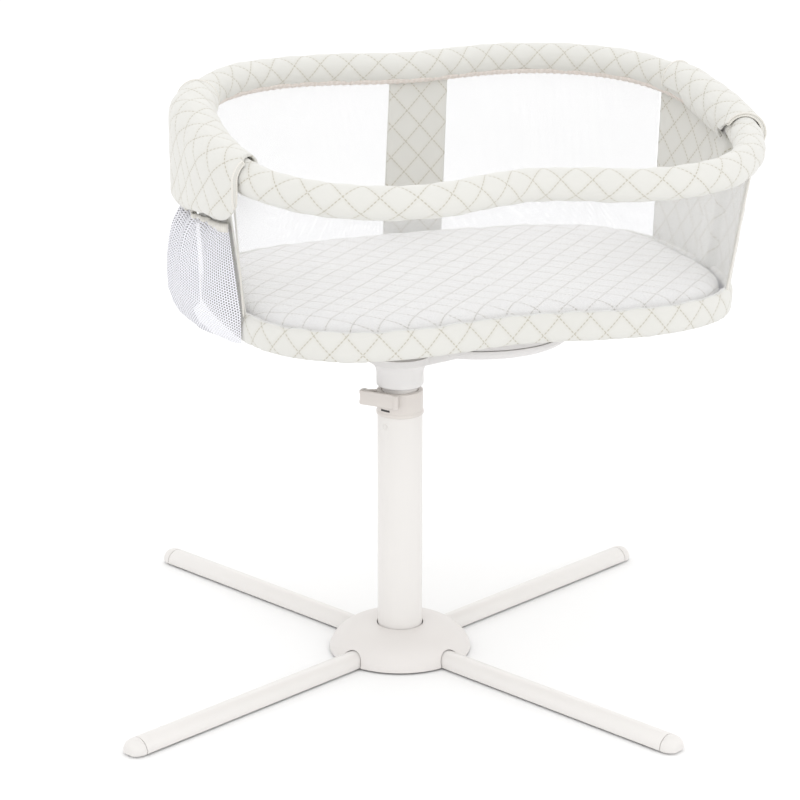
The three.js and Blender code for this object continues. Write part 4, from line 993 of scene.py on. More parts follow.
@dataclass
class Arm:
    """Inner tube, swivel arm with its dish, and the turntable plate."""

    reach: float = 0.1987
    azimuth: float = math.radians(50)
    tube_radius: float = 0.0285
    neck_radius: float = 0.0375
    dish_radius: float = 0.154
    root_radius: float = 0.040
    end_radius: float = 0.084
    segments: int = 128

    def _tube(self) -> bpy.types.Object:
        """The sliding inner tube."""
        low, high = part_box("column_inner")
        radius = self.tube_radius
        profile = [(radius - 0.002, low.z), (radius, low.z), (radius, high.z), (radius - 0.002, high.z)]
        return Bench.lathe(profile, 80, hollow=True)

    def _neck(self, base: float, top: float) -> bpy.types.Object:
        """The neck that sits over the inner tube."""
        radius = self.neck_radius
        profile = [
            (self.tube_radius + 0.0005, top - 0.003),
            (self.tube_radius + 0.0005, base),
            (self.tube_radius + 0.0022, base),
            (radius - 0.0012, base + 0.0034),
            (radius - 0.0003, base + 0.0044),
            (radius, base + 0.0058),
            (radius, top - 0.030),
            (radius + 0.0006, top - 0.025),
            (radius + 0.0022, top - 0.020),
            (radius + 0.0060, top - 0.0145),
            (radius + 0.0120, top - 0.0105),
            (radius + 0.0120, top),
        ]
        return Bench.lathe(profile, 96, hollow=True)

    def _beam(self, bottom: float, top: float) -> bpy.types.Object:
        """The tapering beam between the neck and the dish, hulled from two discs."""
        Bench.clear()
        lean = math.acos((self.root_radius - self.end_radius) / self.reach)
        bpy.ops.mesh.primitive_circle_add(vertices=72, radius=1.0, location=(0, 0, bottom))
        piece = bpy.context.object
        mesh = Bench.edit()
        half = 36
        root = np.linspace(lean, TURN - lean, half)
        end = np.linspace(-lean, lean, half)
        spots = [(self.root_radius * math.cos(t), self.root_radius * math.sin(t)) for t in root]
        spots += [(self.reach + self.end_radius * math.cos(t), self.end_radius * math.sin(t)) for t in end]
        mesh.verts.ensure_lookup_table()
        order = sorted(mesh.verts, key=lambda vertex: vertex.index)
        for vertex, (x, y) in zip(order, spots):
            vertex.co.x, vertex.co.y = x, y
        bmesh.update_edit_mesh(piece.data)
        bpy.ops.mesh.select_all(action="SELECT")
        bpy.ops.mesh.edge_face_add()
        Bench.push(0, 0, top - bottom)
        bpy.ops.object.mode_set(mode="OBJECT")
        piece.rotation_euler = (0, 0, self.azimuth)
        Bench.grab(piece)
        bpy.ops.object.transform_apply(location=True, rotation=True, scale=True)
        Bench.bevel(piece, 0.0025, 4, 50.0)
        return piece

    def _dish(self, bottom: float, top: float) -> bpy.types.Object:
        """The shallow dish under the turntable."""
        radius = self.dish_radius
        steps = 14
        profile = [(0.0065, bottom), (radius * 0.80, bottom)]
        for i in range(1, steps + 1):
            turn = i / steps * math.pi / 2
            profile.append(
                (
                    radius * (0.80 + 0.20 * math.sin(turn)),
                    bottom + (top - bottom - 0.004) * (1 - math.cos(turn)),
                ),
            )
        profile += [(radius, top - 0.0006), (radius - 0.0006, top), (0.0065, top)]
        centre = (self.reach * math.cos(self.azimuth), self.reach * math.sin(self.azimuth))
        return Bench.lathe(profile, self.segments, centre, hollow=True)

    def _plate(self) -> bpy.types.Object:
        """The turntable plate under the bed, with a stepped rim."""
        low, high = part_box("turntable_plate")
        radius = (high.x - low.x) / 2
        centre = ((low.x + high.x) / 2, (low.y + high.y) / 2)
        base, top = low.z, high.z
        profile = [
            (0.0068, base),
            (radius - 0.0006, base),
            (radius, base + 0.0006),
            (radius, base + 0.0078),
            (radius - 0.0008, base + 0.0092),
            (radius - 0.003, base + 0.0108),
            (radius - 0.007, base + 0.0145),
            (radius - 0.034, top - 0.001),
            (radius - 0.036, top),
            (0.0068, top),
        ]
        return Bench.lathe(profile, self.segments, centre, hollow=True)

    def build(self) -> None:
        """Models the pieces between the column and the bed."""
        low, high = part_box("swivel_arm")
        dish_bottom = high.z - 0.019
        dress(
            Bench.settle(self._tube(), "tube_shell"),
            Finish.PAINT,
            "tube_paint",
            "height_tube",
            "column_inner",
        )
        parts = [
            Bench.settle(self._neck(low.z, high.z - 0.0022), "neck"),
            self._beam(dish_bottom + 0.0012, high.z - 0.0025),
            self._dish(dish_bottom, high.z),
        ]
        arm = Bench.settle(Bench.join(parts), "arm_shell")
        dress(arm, Finish.ARM, "arm_plastic", "swivel_arm", "swivel_arm")
        dress(
            Bench.settle(self._plate(), "turntable_shell"),
            Finish.ARM,
            "arm_plastic",
            "bed",
            "turntable_plate",
        )


# ---------------------------------------------------------------- the bed's outline


@dataclass(frozen=True)
class Outline:
    """A rounded rectangle in plan with a waist on each long side."""

    half_length: float
    half_depth: float
    power: float
    front_waist: float
    rear_waist: float
    shift: float = 0.0
    waist_x: float = -0.011
    waist_spread: float = 0.154

    def at(self, angles: np.ndarray) -> np.ndarray:
        """Points at angles round the outline, with zero height."""
        cos, sin = np.cos(angles), np.sin(angles)
        x = self.half_length * np.sign(cos) * np.abs(cos) ** (2 / self.power)
        y = self.half_depth * np.sign(sin) * np.abs(sin) ** (2 / self.power)
        waist = np.where(sin < 0, self.front_waist, self.rear_waist)
        narrow = waist * np.exp(-(((x - self.waist_x) / self.waist_spread) ** 2))
        return np.stack([x, y * (1 - narrow) + self.shift, np.zeros_like(x)], -1)

    def angle_at_y(self, y: float, side: Side) -> float:
        """The angle at which an end of the outline reaches a Y."""
        reach = (y - self.shift) / self.half_depth
        angle = math.asin(math.copysign(abs(reach) ** (self.power / 2), reach))
        return angle if side is Side.RIGHT else math.pi - angle

    def angle_at_x(self, x: float) -> float:
        """The angle at which the rear of the outline reaches an X."""
        reach = x / self.half_length
        return math.acos(math.copysign(abs(reach) ** (self.power / 2), reach))


@dataclass
class Path:
    """Evenly spaced points on the bed, with directions."""

    points: np.ndarray
    closed: bool = False
    outward: np.ndarray = field(init=False)
    tangent: np.ndarray = field(init=False)
    along: np.ndarray = field(init=False)

    def __post_init__(self) -> None:
        """Works out directions and distances."""
        points = self.points
        if self.closed:
            before, after = np.roll(points, 1, 0), np.roll(points, -1, 0)
        else:
            before = np.concatenate([points[:1], points[:-1]])
            after = np.concatenate([points[1:], points[-1:]])
        step = after - before
        self.tangent = step / np.linalg.norm(step, axis=1, keepdims=True)
        flat = np.stack([step[:, 1], -step[:, 0], np.zeros(len(step))], -1)
        self.outward = flat / np.linalg.norm(flat, axis=1, keepdims=True)
        pieces = np.linalg.norm(np.diff(points, axis=0), axis=1)
        self.along = np.concatenate([[0.0], np.cumsum(pieces)])

    @property
    def up(self) -> np.ndarray:
        """Directions square to the path and to its outward directions."""
        return np.cross(self.outward, self.tangent)


def even(curve: Callable[[np.ndarray], np.ndarray], start: float, end: float, count: int) -> np.ndarray:
    """Evenly spaced points on a curve.

    Args:
        curve: Gives points for angles.
        start: First angle.
        end: Last angle.
        count: Steps between the ends.

    Returns:
        count + 1 points.
    """
    fine = curve(np.linspace(start, end, 4000))
    travelled = np.concatenate([[0.0], np.cumsum(np.linalg.norm(np.diff(fine, axis=0), axis=1))])
    target = np.linspace(0, travelled[-1], count + 1)
    return np.stack([np.interp(target, travelled, fine[:, k]) for k in range(3)], -1)


def smooth_share(value: np.ndarray | float, low: float, high: float) -> np.ndarray | float:
    """A share from 0 at low to 1 at high with soft ends."""
    share = np.clip((value - low) / (high - low), 0, 1)
    return share * share * (3 - 2 * share)


@dataclass
class BedShape:
    """Where the bed's outline, rim and walls run, in the bed's own frame and in the model's."""

    yaw: float = math.radians(18.6)
    turntable: tuple[float, float] = (0.012, -0.024)
    floor: Outline = Outline(0.414, 0.309, 3.4, 0.12, -0.015)
    rim: Outline = Outline(0.435, 0.350, 2.54, 0.222, 0.142, -0.027)
    rim_radius: float = 0.0255
    front_rise: float = 0.255
    rear_rise: float = 0.3465
    hinge_y: float = -0.060
    panel_fronts: tuple[float, float] = (-0.1205, -0.2318)
    panel_rear: float = 0.140
    post_foot: float = 0.4
    post_head: float = 0.431
    bracket_half: float = 0.019

    def __post_init__(self) -> None:
        """Reads the bed's place and heights from the frame."""
        joint = next(j for j in frame["joints"] if j["name"] == "bed_turn")
        low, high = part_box("band_cover")
        self.band_bottom, self.band_top = low.z, high.z
        self.mattress_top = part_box("mattress")[1].z
        cos, sin = math.cos(self.yaw), math.sin(self.yaw)
        x, y = self.turntable
        self.centre = (joint["pos_m"][0] - (cos * x - sin * y), joint["pos_m"][1] - (sin * x + cos * y))
        self.wall_bottom = self.band_top - 0.004

    def world(self, points: np.ndarray) -> np.ndarray:
        """Puts points of the bed's own frame in the model's."""
        cos, sin = math.cos(self.yaw), math.sin(self.yaw)
        x, y, z = points[..., 0], points[..., 1], points[..., 2]
        return np.stack([cos * x - sin * y + self.centre[0], sin * x + cos * y + self.centre[1], z], -1)

    def panel_front(self, side: Side) -> float:
        """Y of the front edge of an end panel."""
        return self.panel_fronts[0 if side is Side.LEFT else 1]

    def rim_height(self, y: np.ndarray | float) -> np.ndarray | float:
        """Height of the rim's centre line over a Y."""
        share = smooth_share(np.asarray(y) - self.rim.shift, -self.rim.half_depth, self.rim.half_depth)
        return self.band_bottom + self.front_rise + (self.rear_rise - self.front_rise) * share

    def rim_at(self, angles: np.ndarray) -> np.ndarray:
        """Points of the rim's centre line."""
        points = self.rim.at(angles)
        points[..., 2] = self.rim_height(points[..., 1])
        return points

    def rim_path(self, start: float, end: float, step: float = 0.004) -> Path:
        """The rim between two angles, in steps of about a size."""
        rough = even(self.rim_at, start, end, 200)
        length = np.linalg.norm(np.diff(rough, axis=0), axis=1).sum()
        return Path(even(self.rim_at, start, end, max(int(length / step), 4)))

    def floor_loop(self, step: float = 0.004) -> Path:
        """The whole floor outline."""
        rough = even(self.floor.at, 0, TURN, 200)
        length = np.linalg.norm(np.diff(rough, axis=0), axis=1).sum()
        return Path(even(self.floor.at, 0, TURN, int(length / step))[:-1], closed=True)

    def angles_at_y(self, y: float, side: Side) -> tuple[float, float]:
        """The floor's and the rim's angles at a Y."""
        return self.floor.angle_at_y(y, side), self.rim.angle_at_y(y, side)

    def angles_at_x(self, x: float) -> tuple[float, float]:
        """The floor's and the rim's angles at an X at the rear."""
        return self.floor.angle_at_x(x), self.rim.angle_at_x(x)


# ---------------------------------------------------------------- cloth


def grid_normals(rings: Ring, closed_along: bool, closed_round: bool) -> np.ndarray:
    """Directions square to a grid of points.

    Args:
        rings: Points as [along, round, xyz].
        closed_along: Whether the last ring joins the first.
        closed_round: Whether each ring closes.

    Returns:
        Unit directions.
    """

    def slope(axis: int, closed: bool) -> np.ndarray:
        if closed:
            return np.roll(rings, -1, axis) - np.roll(rings, 1, axis)
        return np.gradient(rings, axis=axis)

    cross = np.cross(slope(0, closed_along), slope(1, closed_round))
    return cross / np.maximum(np.linalg.norm(cross, axis=-1, keepdims=True), 1e-12)


def ring_lengths(rings: Ring, closed_round: bool) -> np.ndarray:
    """Distance round each ring to each of its points, with one more column where rings close."""
    spans = np.linalg.norm(np.diff(rings, axis=1), axis=-1)
    if closed_round:
        last = np.linalg.norm(rings[:, :1] - rings[:, -1:], axis=-1)
        spans = np.concatenate([spans, last], 1)
    return np.concatenate([np.zeros((len(rings), 1)), np.cumsum(spans, 1)], 1)


@dataclass
class ClothGrid:
    """A cloth surface on a grid of points in the bed's frame, with cloth coordinates in metres."""

    shape: BedShape
    rings: Ring
    u: np.ndarray
    closed_along: bool = False
    closed_round: bool = True
    round_cells: int = 0
    v_start: float = 0.0

    def __post_init__(self) -> None:
        """Works out the cloth coordinate round each ring."""
        lengths = ring_lengths(self.rings, self.closed_round)
        if self.round_cells:
            lengths = lengths / lengths[:, -1:] * self.round_cells * LATTICE.height
        self.v = lengths + self.v_start

    def puff(self, height: float, mask: np.ndarray | float = 1.0) -> "ClothGrid":
        """Swells the cloth between its stitch lines.

        Args:
            height: How far a diamond's middle stands out.
            mask: Share of it over the grid.

        Returns:
            This grid.
        """
        columns = self.rings.shape[1]
        relief = LATTICE.relief(self.u[:, None] + 0 * self.v[:, :columns], self.v[:, :columns])
        normals = grid_normals(self.rings, self.closed_along, self.closed_round)
        self.rings = self.rings + normals * (relief * height * mask)[..., None]
        return self

    def crumple(self, size: float, height: float, mask: np.ndarray | float = 1.0) -> "ClothGrid":
        """Adds soft unevenness.

        Args:
            size: Blobs to the metre.
            height: How far it stands in and out.
            mask: Share of it over the grid.

        Returns:
            This grid.
        """
        flat = self.rings.reshape(-1, 3) * size
        bumps = np.array([noise.noise(Vector(p)) for p in flat]).reshape(self.rings.shape[:2])
        normals = grid_normals(self.rings, self.closed_along, self.closed_round)
        self.rings = self.rings + normals * (bumps * height * mask)[..., None]
        return self

    def make(self, name: str) -> bpy.types.Object:
        """Builds the mesh, in the model's frame, with its cloth coordinates as UVs.

        Args:
            name: The piece's name.

        Returns:
            The object.
        """
        count, size = self.rings.shape[:2]
        points = self.shape.world(self.rings).reshape(-1, 3)
        faces, layout = [], []
        rows = count if self.closed_along else count - 1
        columns = size if self.closed_round else size - 1
        last_u = self.u[-1] + (self.u[1] - self.u[0])
        for i in range(rows):
            k = (i + 1) % count
            next_u = last_u if k == 0 else self.u[k]
            for j in range(columns):
                m = (j + 1) % size
                faces.append((i * size + j, k * size + j, k * size + m, i * size + m))
                near, far = self.v[i], self.v[k]
                layout.append(
                    ((self.u[i], near[j]), (next_u, far[j]), (next_u, far[j + 1]), (self.u[i], near[j + 1]))
                )
        caps = []
        if self.closed_round and not self.closed_along:
            caps = [tuple(range(size))[::-1], tuple((count - 1) * size + j for j in range(size))]
        mesh = bpy.data.meshes.new(name)
        mesh.from_pydata(points.tolist(), [], [list(f) for f in faces] + [list(c) for c in caps])
        uv = mesh.uv_layers.new(name="cloth")
        flat = np.array(layout, dtype=np.float32).reshape(-1, 2)
        rest = sum(len(c) for c in caps)
        if rest:
            ends = [(LATTICE.width / 2, 0.0)] * rest
            flat = np.concatenate([flat, np.array(ends, dtype=np.float32)])
        uv.data.foreach_set("uv", flat.ravel())
        mesh.update()
        piece = bpy.data.objects.new(name, mesh)
        bpy.context.scene.collection.objects.link(piece)
        for polygon in mesh.polygons:
            polygon.use_smooth = len(polygon.vertices) == 4
        if self.closed_round or self.closed_along:
            edit = bmesh.new()
            edit.from_mesh(mesh)
            bmesh.ops.recalc_face_normals(edit, faces=edit.faces)
            edit.to_mesh(mesh)
            edit.free()
        return piece


def tube(path: Path, radii: np.ndarray, sides: int) -> Ring:
    """Rings of a tube round a path, each from its lowest point outwards.

    Args:
        path: The centre line.
        radii: A radius for each point.
        sides: Points round the tube.

    Returns:
        The rings.
    """
    turn = TURN * np.arange(sides) / sides - math.pi / 2
    out = path.outward[:, None, :] * np.cos(turn)[None, :, None]
    up = path.up[:, None, :] * np.sin(turn)[None, :, None]
    return path.points[:, None, :] + (out + up) * radii[:, None, None]


def rounded_ends(path: Path, radius: float, depth: float) -> np.ndarray:
    """Radii along a tube that close softly over a depth at both ends."""
    total = path.along[-1]
    near = np.minimum(path.along, total - path.along)
    share = np.clip(near / depth, 0.02, 1)
    return radius * np.sqrt(1 - (1 - share) ** 2)


def piping(shape: BedShape, name: str, points: np.ndarray, radius: float) -> bpy.types.Object:
    """A thin corded edge along any line of points in the bed's frame."""
    sides = 10
    step = np.gradient(points, axis=0)
    tangent = step / np.linalg.norm(step, axis=1, keepdims=True)
    helper = np.array([0.31, 0.17, 0.94])
    across = np.cross(tangent, helper)
    across /= np.linalg.norm(across, axis=1, keepdims=True)
    above = np.cross(across, tangent)
    turn = TURN * np.arange(sides) / sides
    rings = points[:, None, :] + radius * (
        across[:, None, :] * np.cos(turn)[None, :, None] + above[:, None, :] * np.sin(turn)[None, :, None]
    )
    along = np.concatenate([[0.0], np.cumsum(np.linalg.norm(np.diff(points, axis=0), axis=1))])
    return ClothGrid(shape, rings, along).make(name)


def resample(points: np.ndarray, count: int) -> np.ndarray:
    """Evenly spaced points on a line of points, eased through its corners."""
    travelled = np.concatenate([[0.0], np.cumsum(np.linalg.norm(np.diff(points, axis=0), axis=1))])
    target = np.linspace(0, travelled[-1], count)
    return np.stack([np.interp(target, travelled, points[:, k]) for k in range(points.shape[1])], -1)


@dataclass
class Rims:
    """The two padded rims and the seam tape under the rear one."""

    shape: BedShape
    puff: float = 0.0016
    slack: float = 0.0009
    sides: int = 52
    cells: int = 3

    def _rim(self, name: str, start: float, end: float) -> bpy.types.Object:
        """One padded rim between two angles."""
        path = self.shape.rim_path(start, end, 0.0035)
        radii = rounded_ends(path, self.shape.rim_radius - self.slack, 0.010)
        rings = tube(path, radii, self.sides)
        grid = ClothGrid(self.shape, rings, path.along, round_cells=self.cells)
        grid.crumple(16.0, 0.0016).puff(self.puff)
        return grid.make(name)

    def _tape(self) -> bpy.types.Object:
        """The gathered tape where the rear walls are sewn to the rim."""
        end = self.shape.hinge_y + 0.05
        angles = [self.shape.rim.angle_at_y(end, side) for side in (Side.RIGHT, Side.LEFT)]
        path = self.shape.rim_path(angles[0], angles[1], 0.0025)
        wave = 0.0007 * np.sin(path.along * TURN / 0.013) + 0.0005 * np.sin(path.along * TURN / 0.0071 + 1.3)
        turns = np.radians([-97, -103, -112, -122, -131, -137])
        lift = np.array([0.0006, 0.0017, 0.0024, 0.0024, 0.0017, 0.0006])
        rings = []
        for radius_add, order in ((lift, slice(None)), (-0.0012 + 0 * lift, slice(None, None, -1))):
            for turn, add in list(zip(turns, radius_add))[order]:
                radius = self.shape.rim_radius + add + wave * (1 if add > 0 else 0)
                out = path.outward * (np.cos(turn) * radius)[:, None]
                up = path.up * (np.sin(turn) * radius)[:, None]
                rings.append(path.points + out + up)
        return ClothGrid(self.shape, np.stack(rings, 1), path.along).make("rear_seam_tape")

    def build(self) -> None:
        """Makes the rims and the tape."""
        shape = self.shape
        rear = shape.hinge_y + 0.038
        front = shape.hinge_y - 0.046
        rear_angles = [shape.rim.angle_at_y(rear, side) for side in (Side.RIGHT, Side.LEFT)]
        front_angles = [shape.rim.angle_at_y(front, side) for side in (Side.LEFT, Side.RIGHT)]
        piece = self._rim("rear_rim", rear_angles[0], rear_angles[1])
        dress(piece, Finish.QUILT, "quilted_cotton", "bed", "rear_padding")
        piece = self._rim("front_rim", front_angles[0], front_angles[1] + TURN)
        dress(piece, Finish.QUILT, "quilted_cotton", "front_wall", "front_padding")
        dress(self._tape(), Finish.TAPE, "quilted_cotton", "bed")


@dataclass
class Band:
    """The padded band round the bed's floor."""

    shape: BedShape
    puff: float = 0.0024

    def build(self) -> None:
        """Makes the band: a soft wall that rolls over its top edge, with a lip under the board."""
        shape = self.shape
        path = shape.floor_loop(0.0035)
        low, high = shape.band_bottom, shape.band_top
        rise = high - low
        corners = np.array(
            [
                (0.040, low), (0.026, low - 0.0002), (0.012, low), (0.005, low + 0.0012), (
                    0.0014, low + 0.006
                ),
                (-0.0005, low + 0.013), (-0.0012, low + 0.5 * rise), (-0.0008, high - 0.012), (
                    0.0008, high - 0.005
                ),
                (0.0036, high - 0.0012), (0.0066, high - 0.0004), (0.0098, high - 0.0022), (
                    0.0112, high - 0.007
                ),
                (0.0104, high - 0.014), (0.0052, high - 0.0255), (0.0046, low + 0.0034), (
                    0.040, low + 0.0024
                ),
            ]
        )
        section = resample(np.concatenate([corners, corners[:1]]), 61)[:-1]
        inset, heights = section[:, 0], section[:, 1]
        rings = path.points[:, None, :] - path.outward[:, None, :] * inset[None, :, None]
        rings[..., 2] = heights[None, :]
        total = path.along[-1] + np.linalg.norm(path.points[0] - path.points[-1])
        cells = round(total / LATTICE.width)
        u = path.along / total * cells * LATTICE.width
        grid = ClothGrid(shape, rings, u, closed_along=True, v_start=0.006)
        outer = ((inset < 0.012) & (heights > low + 0.0022)).astype(float)[None, :]
        inner = ((inset > 0.0040) & (heights < high - 0.020)).astype(float)[None, :]
        face = outer * (1 - inner)
        grid.crumple(20.0, 0.0018, face).puff(self.puff, face)
        piece = grid.make("padded_band")
        dress(piece, Finish.QUILT, "quilted_cotton", "bed", "band_cover")


@dataclass
class Mattress:
    """The mattress pad, inflated by a cloth simulation and then quilted."""

    shape: BedShape
    inset: float = 0.0132
    voxel: float = 0.006
    pressure: float = 4.0
    cap: float = 0.006
    frames: int = 20
    puff: float = 0.0011

    def _core(self) -> bpy.types.Object:
        """The pad before it swells: the floor outline with rounded edges."""
        shape = self.shape
        path = shape.floor_loop(0.008)
        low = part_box("mattress")[0].z
        top = shape.mattress_top
        middle = (low + top) / 2
        half = (top - low) / 2 - 0.0015
        turns = np.linspace(-90, 90, 9)
        inset = [self.inset + 0.012 * (1 - math.cos(math.radians(t)) ** 0.6) for t in turns]
        height = [middle + half * math.sin(math.radians(t)) for t in turns]
        rings = np.stack(
            [path.points - path.outward * i + np.array([0, 0, z]) for i, z in zip(inset, height)], 1
        )
        mesh = bpy.data.meshes.new("mattress_core")
        count, size = rings.shape[:2]
        faces = [
            (i * size + j, (i + 1) % count * size + j, (i + 1) % count * size + j + 1, i * size + j + 1)
            for i in range(count)
            for j in range(size - 1)
        ]
        faces.append(tuple(i * size for i in range(count)))
        faces.append(tuple(i * size + size - 1 for i in range(count))[::-1])
        mesh.from_pydata(shape.world(rings).reshape(-1, 3).tolist(), [], faces)
        piece = bpy.data.objects.new("mattress_core", mesh)
        bpy.context.scene.collection.objects.link(piece)
        edit = bmesh.new()
        edit.from_mesh(mesh)
        bmesh.ops.recalc_face_normals(edit, faces=edit.faces)
        edit.to_mesh(mesh)
        edit.free()
        return piece

    def _inflate(self, piece: bpy.types.Object) -> None:
        """Swells the pad with cloth pressure and keeps each point near its start."""
        Bench.grab(piece)
        cloth = piece.modifiers.new("cloth", "CLOTH")
        settings = cloth.settings
        settings.use_pressure = True
        settings.uniform_pressure_force = self.pressure
        settings.effector_weights.gravity = 0
        settings.quality = 5
        start = np.array([v.co for v in piece.data.vertices])
        scene = bpy.context.scene
        for number in range(1, self.frames + 1):
            scene.frame_set(number)
        graph = bpy.context.evaluated_depsgraph_get()
        swollen = piece.evaluated_get(graph).to_mesh()
        end = np.array([v.co for v in swollen.vertices])
        piece.modifiers.remove(cloth)
        scene.frame_set(1)
        move = end - start
        size = np.linalg.norm(move, axis=1, keepdims=True)
        move *= np.minimum(1, self.cap / np.maximum(size, 1e-9))
        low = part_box("mattress")[0].z
        moved = start + move
        moved[:, 2] = np.clip(moved[:, 2], low, self.shape.mattress_top + 0.0035)
        piece.data.vertices.foreach_set("co", moved.astype(np.float32).ravel())
        piece.data.update()

    def build(self) -> None:
        """Makes the mattress."""
        shape = self.shape
        piece = self._core()
        Bench.modify(piece, "REMESH", mode="VOXEL", voxel_size=self.voxel)
        self._inflate(piece)
        Bench.modify(piece, "SMOOTH", factor=0.6, iterations=14)
        Bench.modify(piece, "SUBSURF", levels=1, render_levels=1)
        co = np.array([v.co for v in piece.data.vertices])
        normal = np.array([v.normal for v in piece.data.vertices])
        u, v = self._cloth_place(co)
        relief = LATTICE.relief(u, v) * self.puff * np.clip(normal[:, 2], 0, 1)
        ripple = np.array([noise.noise(Vector(p) * 9.0) for p in co]) * 0.0016 * np.clip(normal[:, 2], 0, 1)
        co += normal * (relief + ripple)[:, None]
        piece.data.vertices.foreach_set("co", co.astype(np.float32).ravel())
        layer = piece.data.uv_layers.new(name="cloth")
        corner = np.zeros(len(piece.data.loops), np.int32)
        piece.data.loops.foreach_get("vertex_index", corner)
        layer.data.foreach_set("uv", np.stack([u[corner], v[corner]], -1).astype(np.float32).ravel())
        piece.data.update()
        piece = Bench.settle(piece, "mattress_pad", 80)
        LOG.info("mattress over %.3f m", shape.mattress_top)
        dress(piece, Finish.SHEET, "sheet_cotton", "bed", "mattress")

    def _cloth_place(self, co: np.ndarray) -> tuple[np.ndarray, np.ndarray]:
        """Cloth coordinates on the pad's top: the bed's own X and Y, carried down its sides."""
        cos, sin = math.cos(self.shape.yaw), math.sin(self.shape.yaw)
        x, y = co[:, 0] - self.shape.centre[0], co[:, 1] - self.shape.centre[1]
        u, v = cos * x + sin * y, -sin * x + cos * y
        drop = self.shape.mattress_top - co[:, 2]
        return u + np.sign(u) * drop * 0.5, v + np.sign(v) * drop * 0.5


@dataclass
class Walls:
    """Net walls, quilted panels and their piping between the band and the rims."""

    shape: BedShape
    panel: float = 0.0032
    puff: float = 0.0012
    centre_x: float = 0.019
    centre_width: float = 0.108
    post_cover: float = 0.0048

    def _columns(self, floor: tuple[float, float], rim: tuple[float, float], count: int) -> tuple[Path, Path]:
        """Matching feet and heads of a wall."""
        return Path(even(self.shape.floor.at, *floor, count)), Path(even(self.shape.rim_at, *rim, count))

    def _surface(
        self,
        floor: tuple[float, float],
        rim: tuple[float, float],
        count: int,
        rows: int,
        top_offset: float = 0.0,
        top: Callable[[np.ndarray], np.ndarray] | None = None,
        inset: float = 0.0035,
    ) -> tuple[np.ndarray, np.ndarray]:
        """A wall's middle surface.

        Args:
            floor: Floor angles of its ends.
            rim: Rim angles of its ends.
            count: Columns.
            rows: Rows.
            top_offset: How far outside the rim's centre line it aims.
            top: Gives the height of the top edge over rim points; the rim's underside if left out.
            inset: How far inside the floor outline its foot stands.

        Returns:
            Points as [column, row, xyz], and outward directions.
        """
        shape = self.shape
        feet, heads = self._columns(floor, rim, count)
        foot = feet.points - feet.outward * inset
        foot[:, 2] = shape.wall_bottom
        edge = heads.points + heads.outward * top_offset
        edge[:, 2] -= shape.rim_radius + 0.001
        height = (edge[:, 2] + 0.006) if top is None else top(heads.points)
        share = ((height - foot[:, 2]) / (edge[:, 2] - foot[:, 2]))[:, None]
        head = foot + (edge - foot) * share
        rise = np.linspace(0, 1, rows + 1)[None, :, None]
        points = foot[:, None] + (head - foot)[:, None] * rise
        across = feet.outward[:, None] * (1 - rise) + heads.outward[:, None] * rise
        return points, across / np.linalg.norm(across, axis=-1, keepdims=True)

    def _net(self, name: str, points: np.ndarray) -> bpy.types.Object:
        """A single layer of net on a wall surface."""
        along = np.linalg.norm(np.diff(points[:, points.shape[1] // 2], axis=0), axis=1)
        u = np.concatenate([[0.0], np.cumsum(along)])
        return ClothGrid(self.shape, points, u, closed_round=False).make(name)

    def _flat_size(self, points: np.ndarray) -> tuple[tuple[float, float], float]:
        """Flat width, length and area of a net before it was sewn in, with 2% of ease."""
        spans = np.linalg.norm(np.diff(points, axis=0), axis=-1).sum(0)
        rises = np.linalg.norm(np.diff(points, axis=1), axis=-1).sum(1)
        a = np.cross(points[1:, :-1] - points[:-1, :-1], points[:-1, 1:] - points[:-1, :-1])
        b = np.cross(points[1:, 1:] - points[1:, :-1], points[:-1, 1:] - points[1:, 1:])
        area = (np.linalg.norm(a, axis=-1) + np.linalg.norm(b, axis=-1)).sum() / 2
        width, length = float(rises.max()) * 1.02, float(spans.max()) * 1.02
        return (width, length), min(float(area) * 1.02, width * length)

    def _quilted(
        self,
        name: str,
        points: np.ndarray,
        across: np.ndarray,
        v_start: float,
        swell: np.ndarray | float = 0.0,
    ) -> bpy.types.Object:
        """A thin quilted panel with both faces swollen between the stitches."""
        rows = points.shape[1]
        half = self.panel / 2
        inner = points - across * (half + swell * np.ones(points.shape[:2]))[..., None]
        outer = points + across * half
        edge = points[:, -1:] + np.array([0, 0, half])
        foot = points[:, :1] - np.array([0, 0, half])
        rings = np.concatenate([inner, edge, outer[:, ::-1], foot], 1)
        along = np.linalg.norm(np.diff(points[:, rows // 2], axis=0), axis=1)
        u = np.concatenate([[0.0], np.cumsum(along)])
        grid = ClothGrid(self.shape, rings, u, v_start=v_start)
        heights = ring_lengths(points, False)
        ones = heights[:, -1:]
        grid.v = np.concatenate(
            [heights, ones, heights[:, ::-1], heights[:, :1], heights[:, :1]], 1
        ) + v_start
        mask = np.ones(rings.shape[:2])
        mask[:2], mask[-2:] = 0.3, 0.3
        mask[:, rows] = mask[:, -1] = 0.0
        grid.crumple(18.0, 0.001, mask).puff(self.puff, mask)
        return grid.make(name)

    def _sleeve(self, side: Side, points: np.ndarray) -> np.ndarray:
        """How far an end panel's inner face swells to hold the post behind it."""
        shape = self.shape
        head = float(shape.rim_height(shape.hinge_y)) - shape.bracket_half - 0.005
        rise = np.clip((points[..., 2] - shape.band_top) / (head - shape.band_top), 0, 1)
        post = shape.post_foot + (shape.post_head - shape.post_foot) * rise
        reach = side.value * points[..., 0] - self.panel / 2 - (post - self.post_cover)
        near = 1 - smooth_share(np.abs(points[..., 1] - shape.hinge_y), 0.019, 0.031)
        return np.maximum(reach, 0) * near

    def _panel_edge(self, side: Side, offset: float) -> np.ndarray:
        """The line up an end panel's front edge, just outside it."""
        floor, rim = self.shape.angles_at_y(self.shape.panel_front(side), side)
        nudge = 0.01 * side.value
        points, across = self._surface((floor, floor + nudge), (rim, rim + nudge), 4, 40, 0.003)
        return points[0] + across[0] * offset

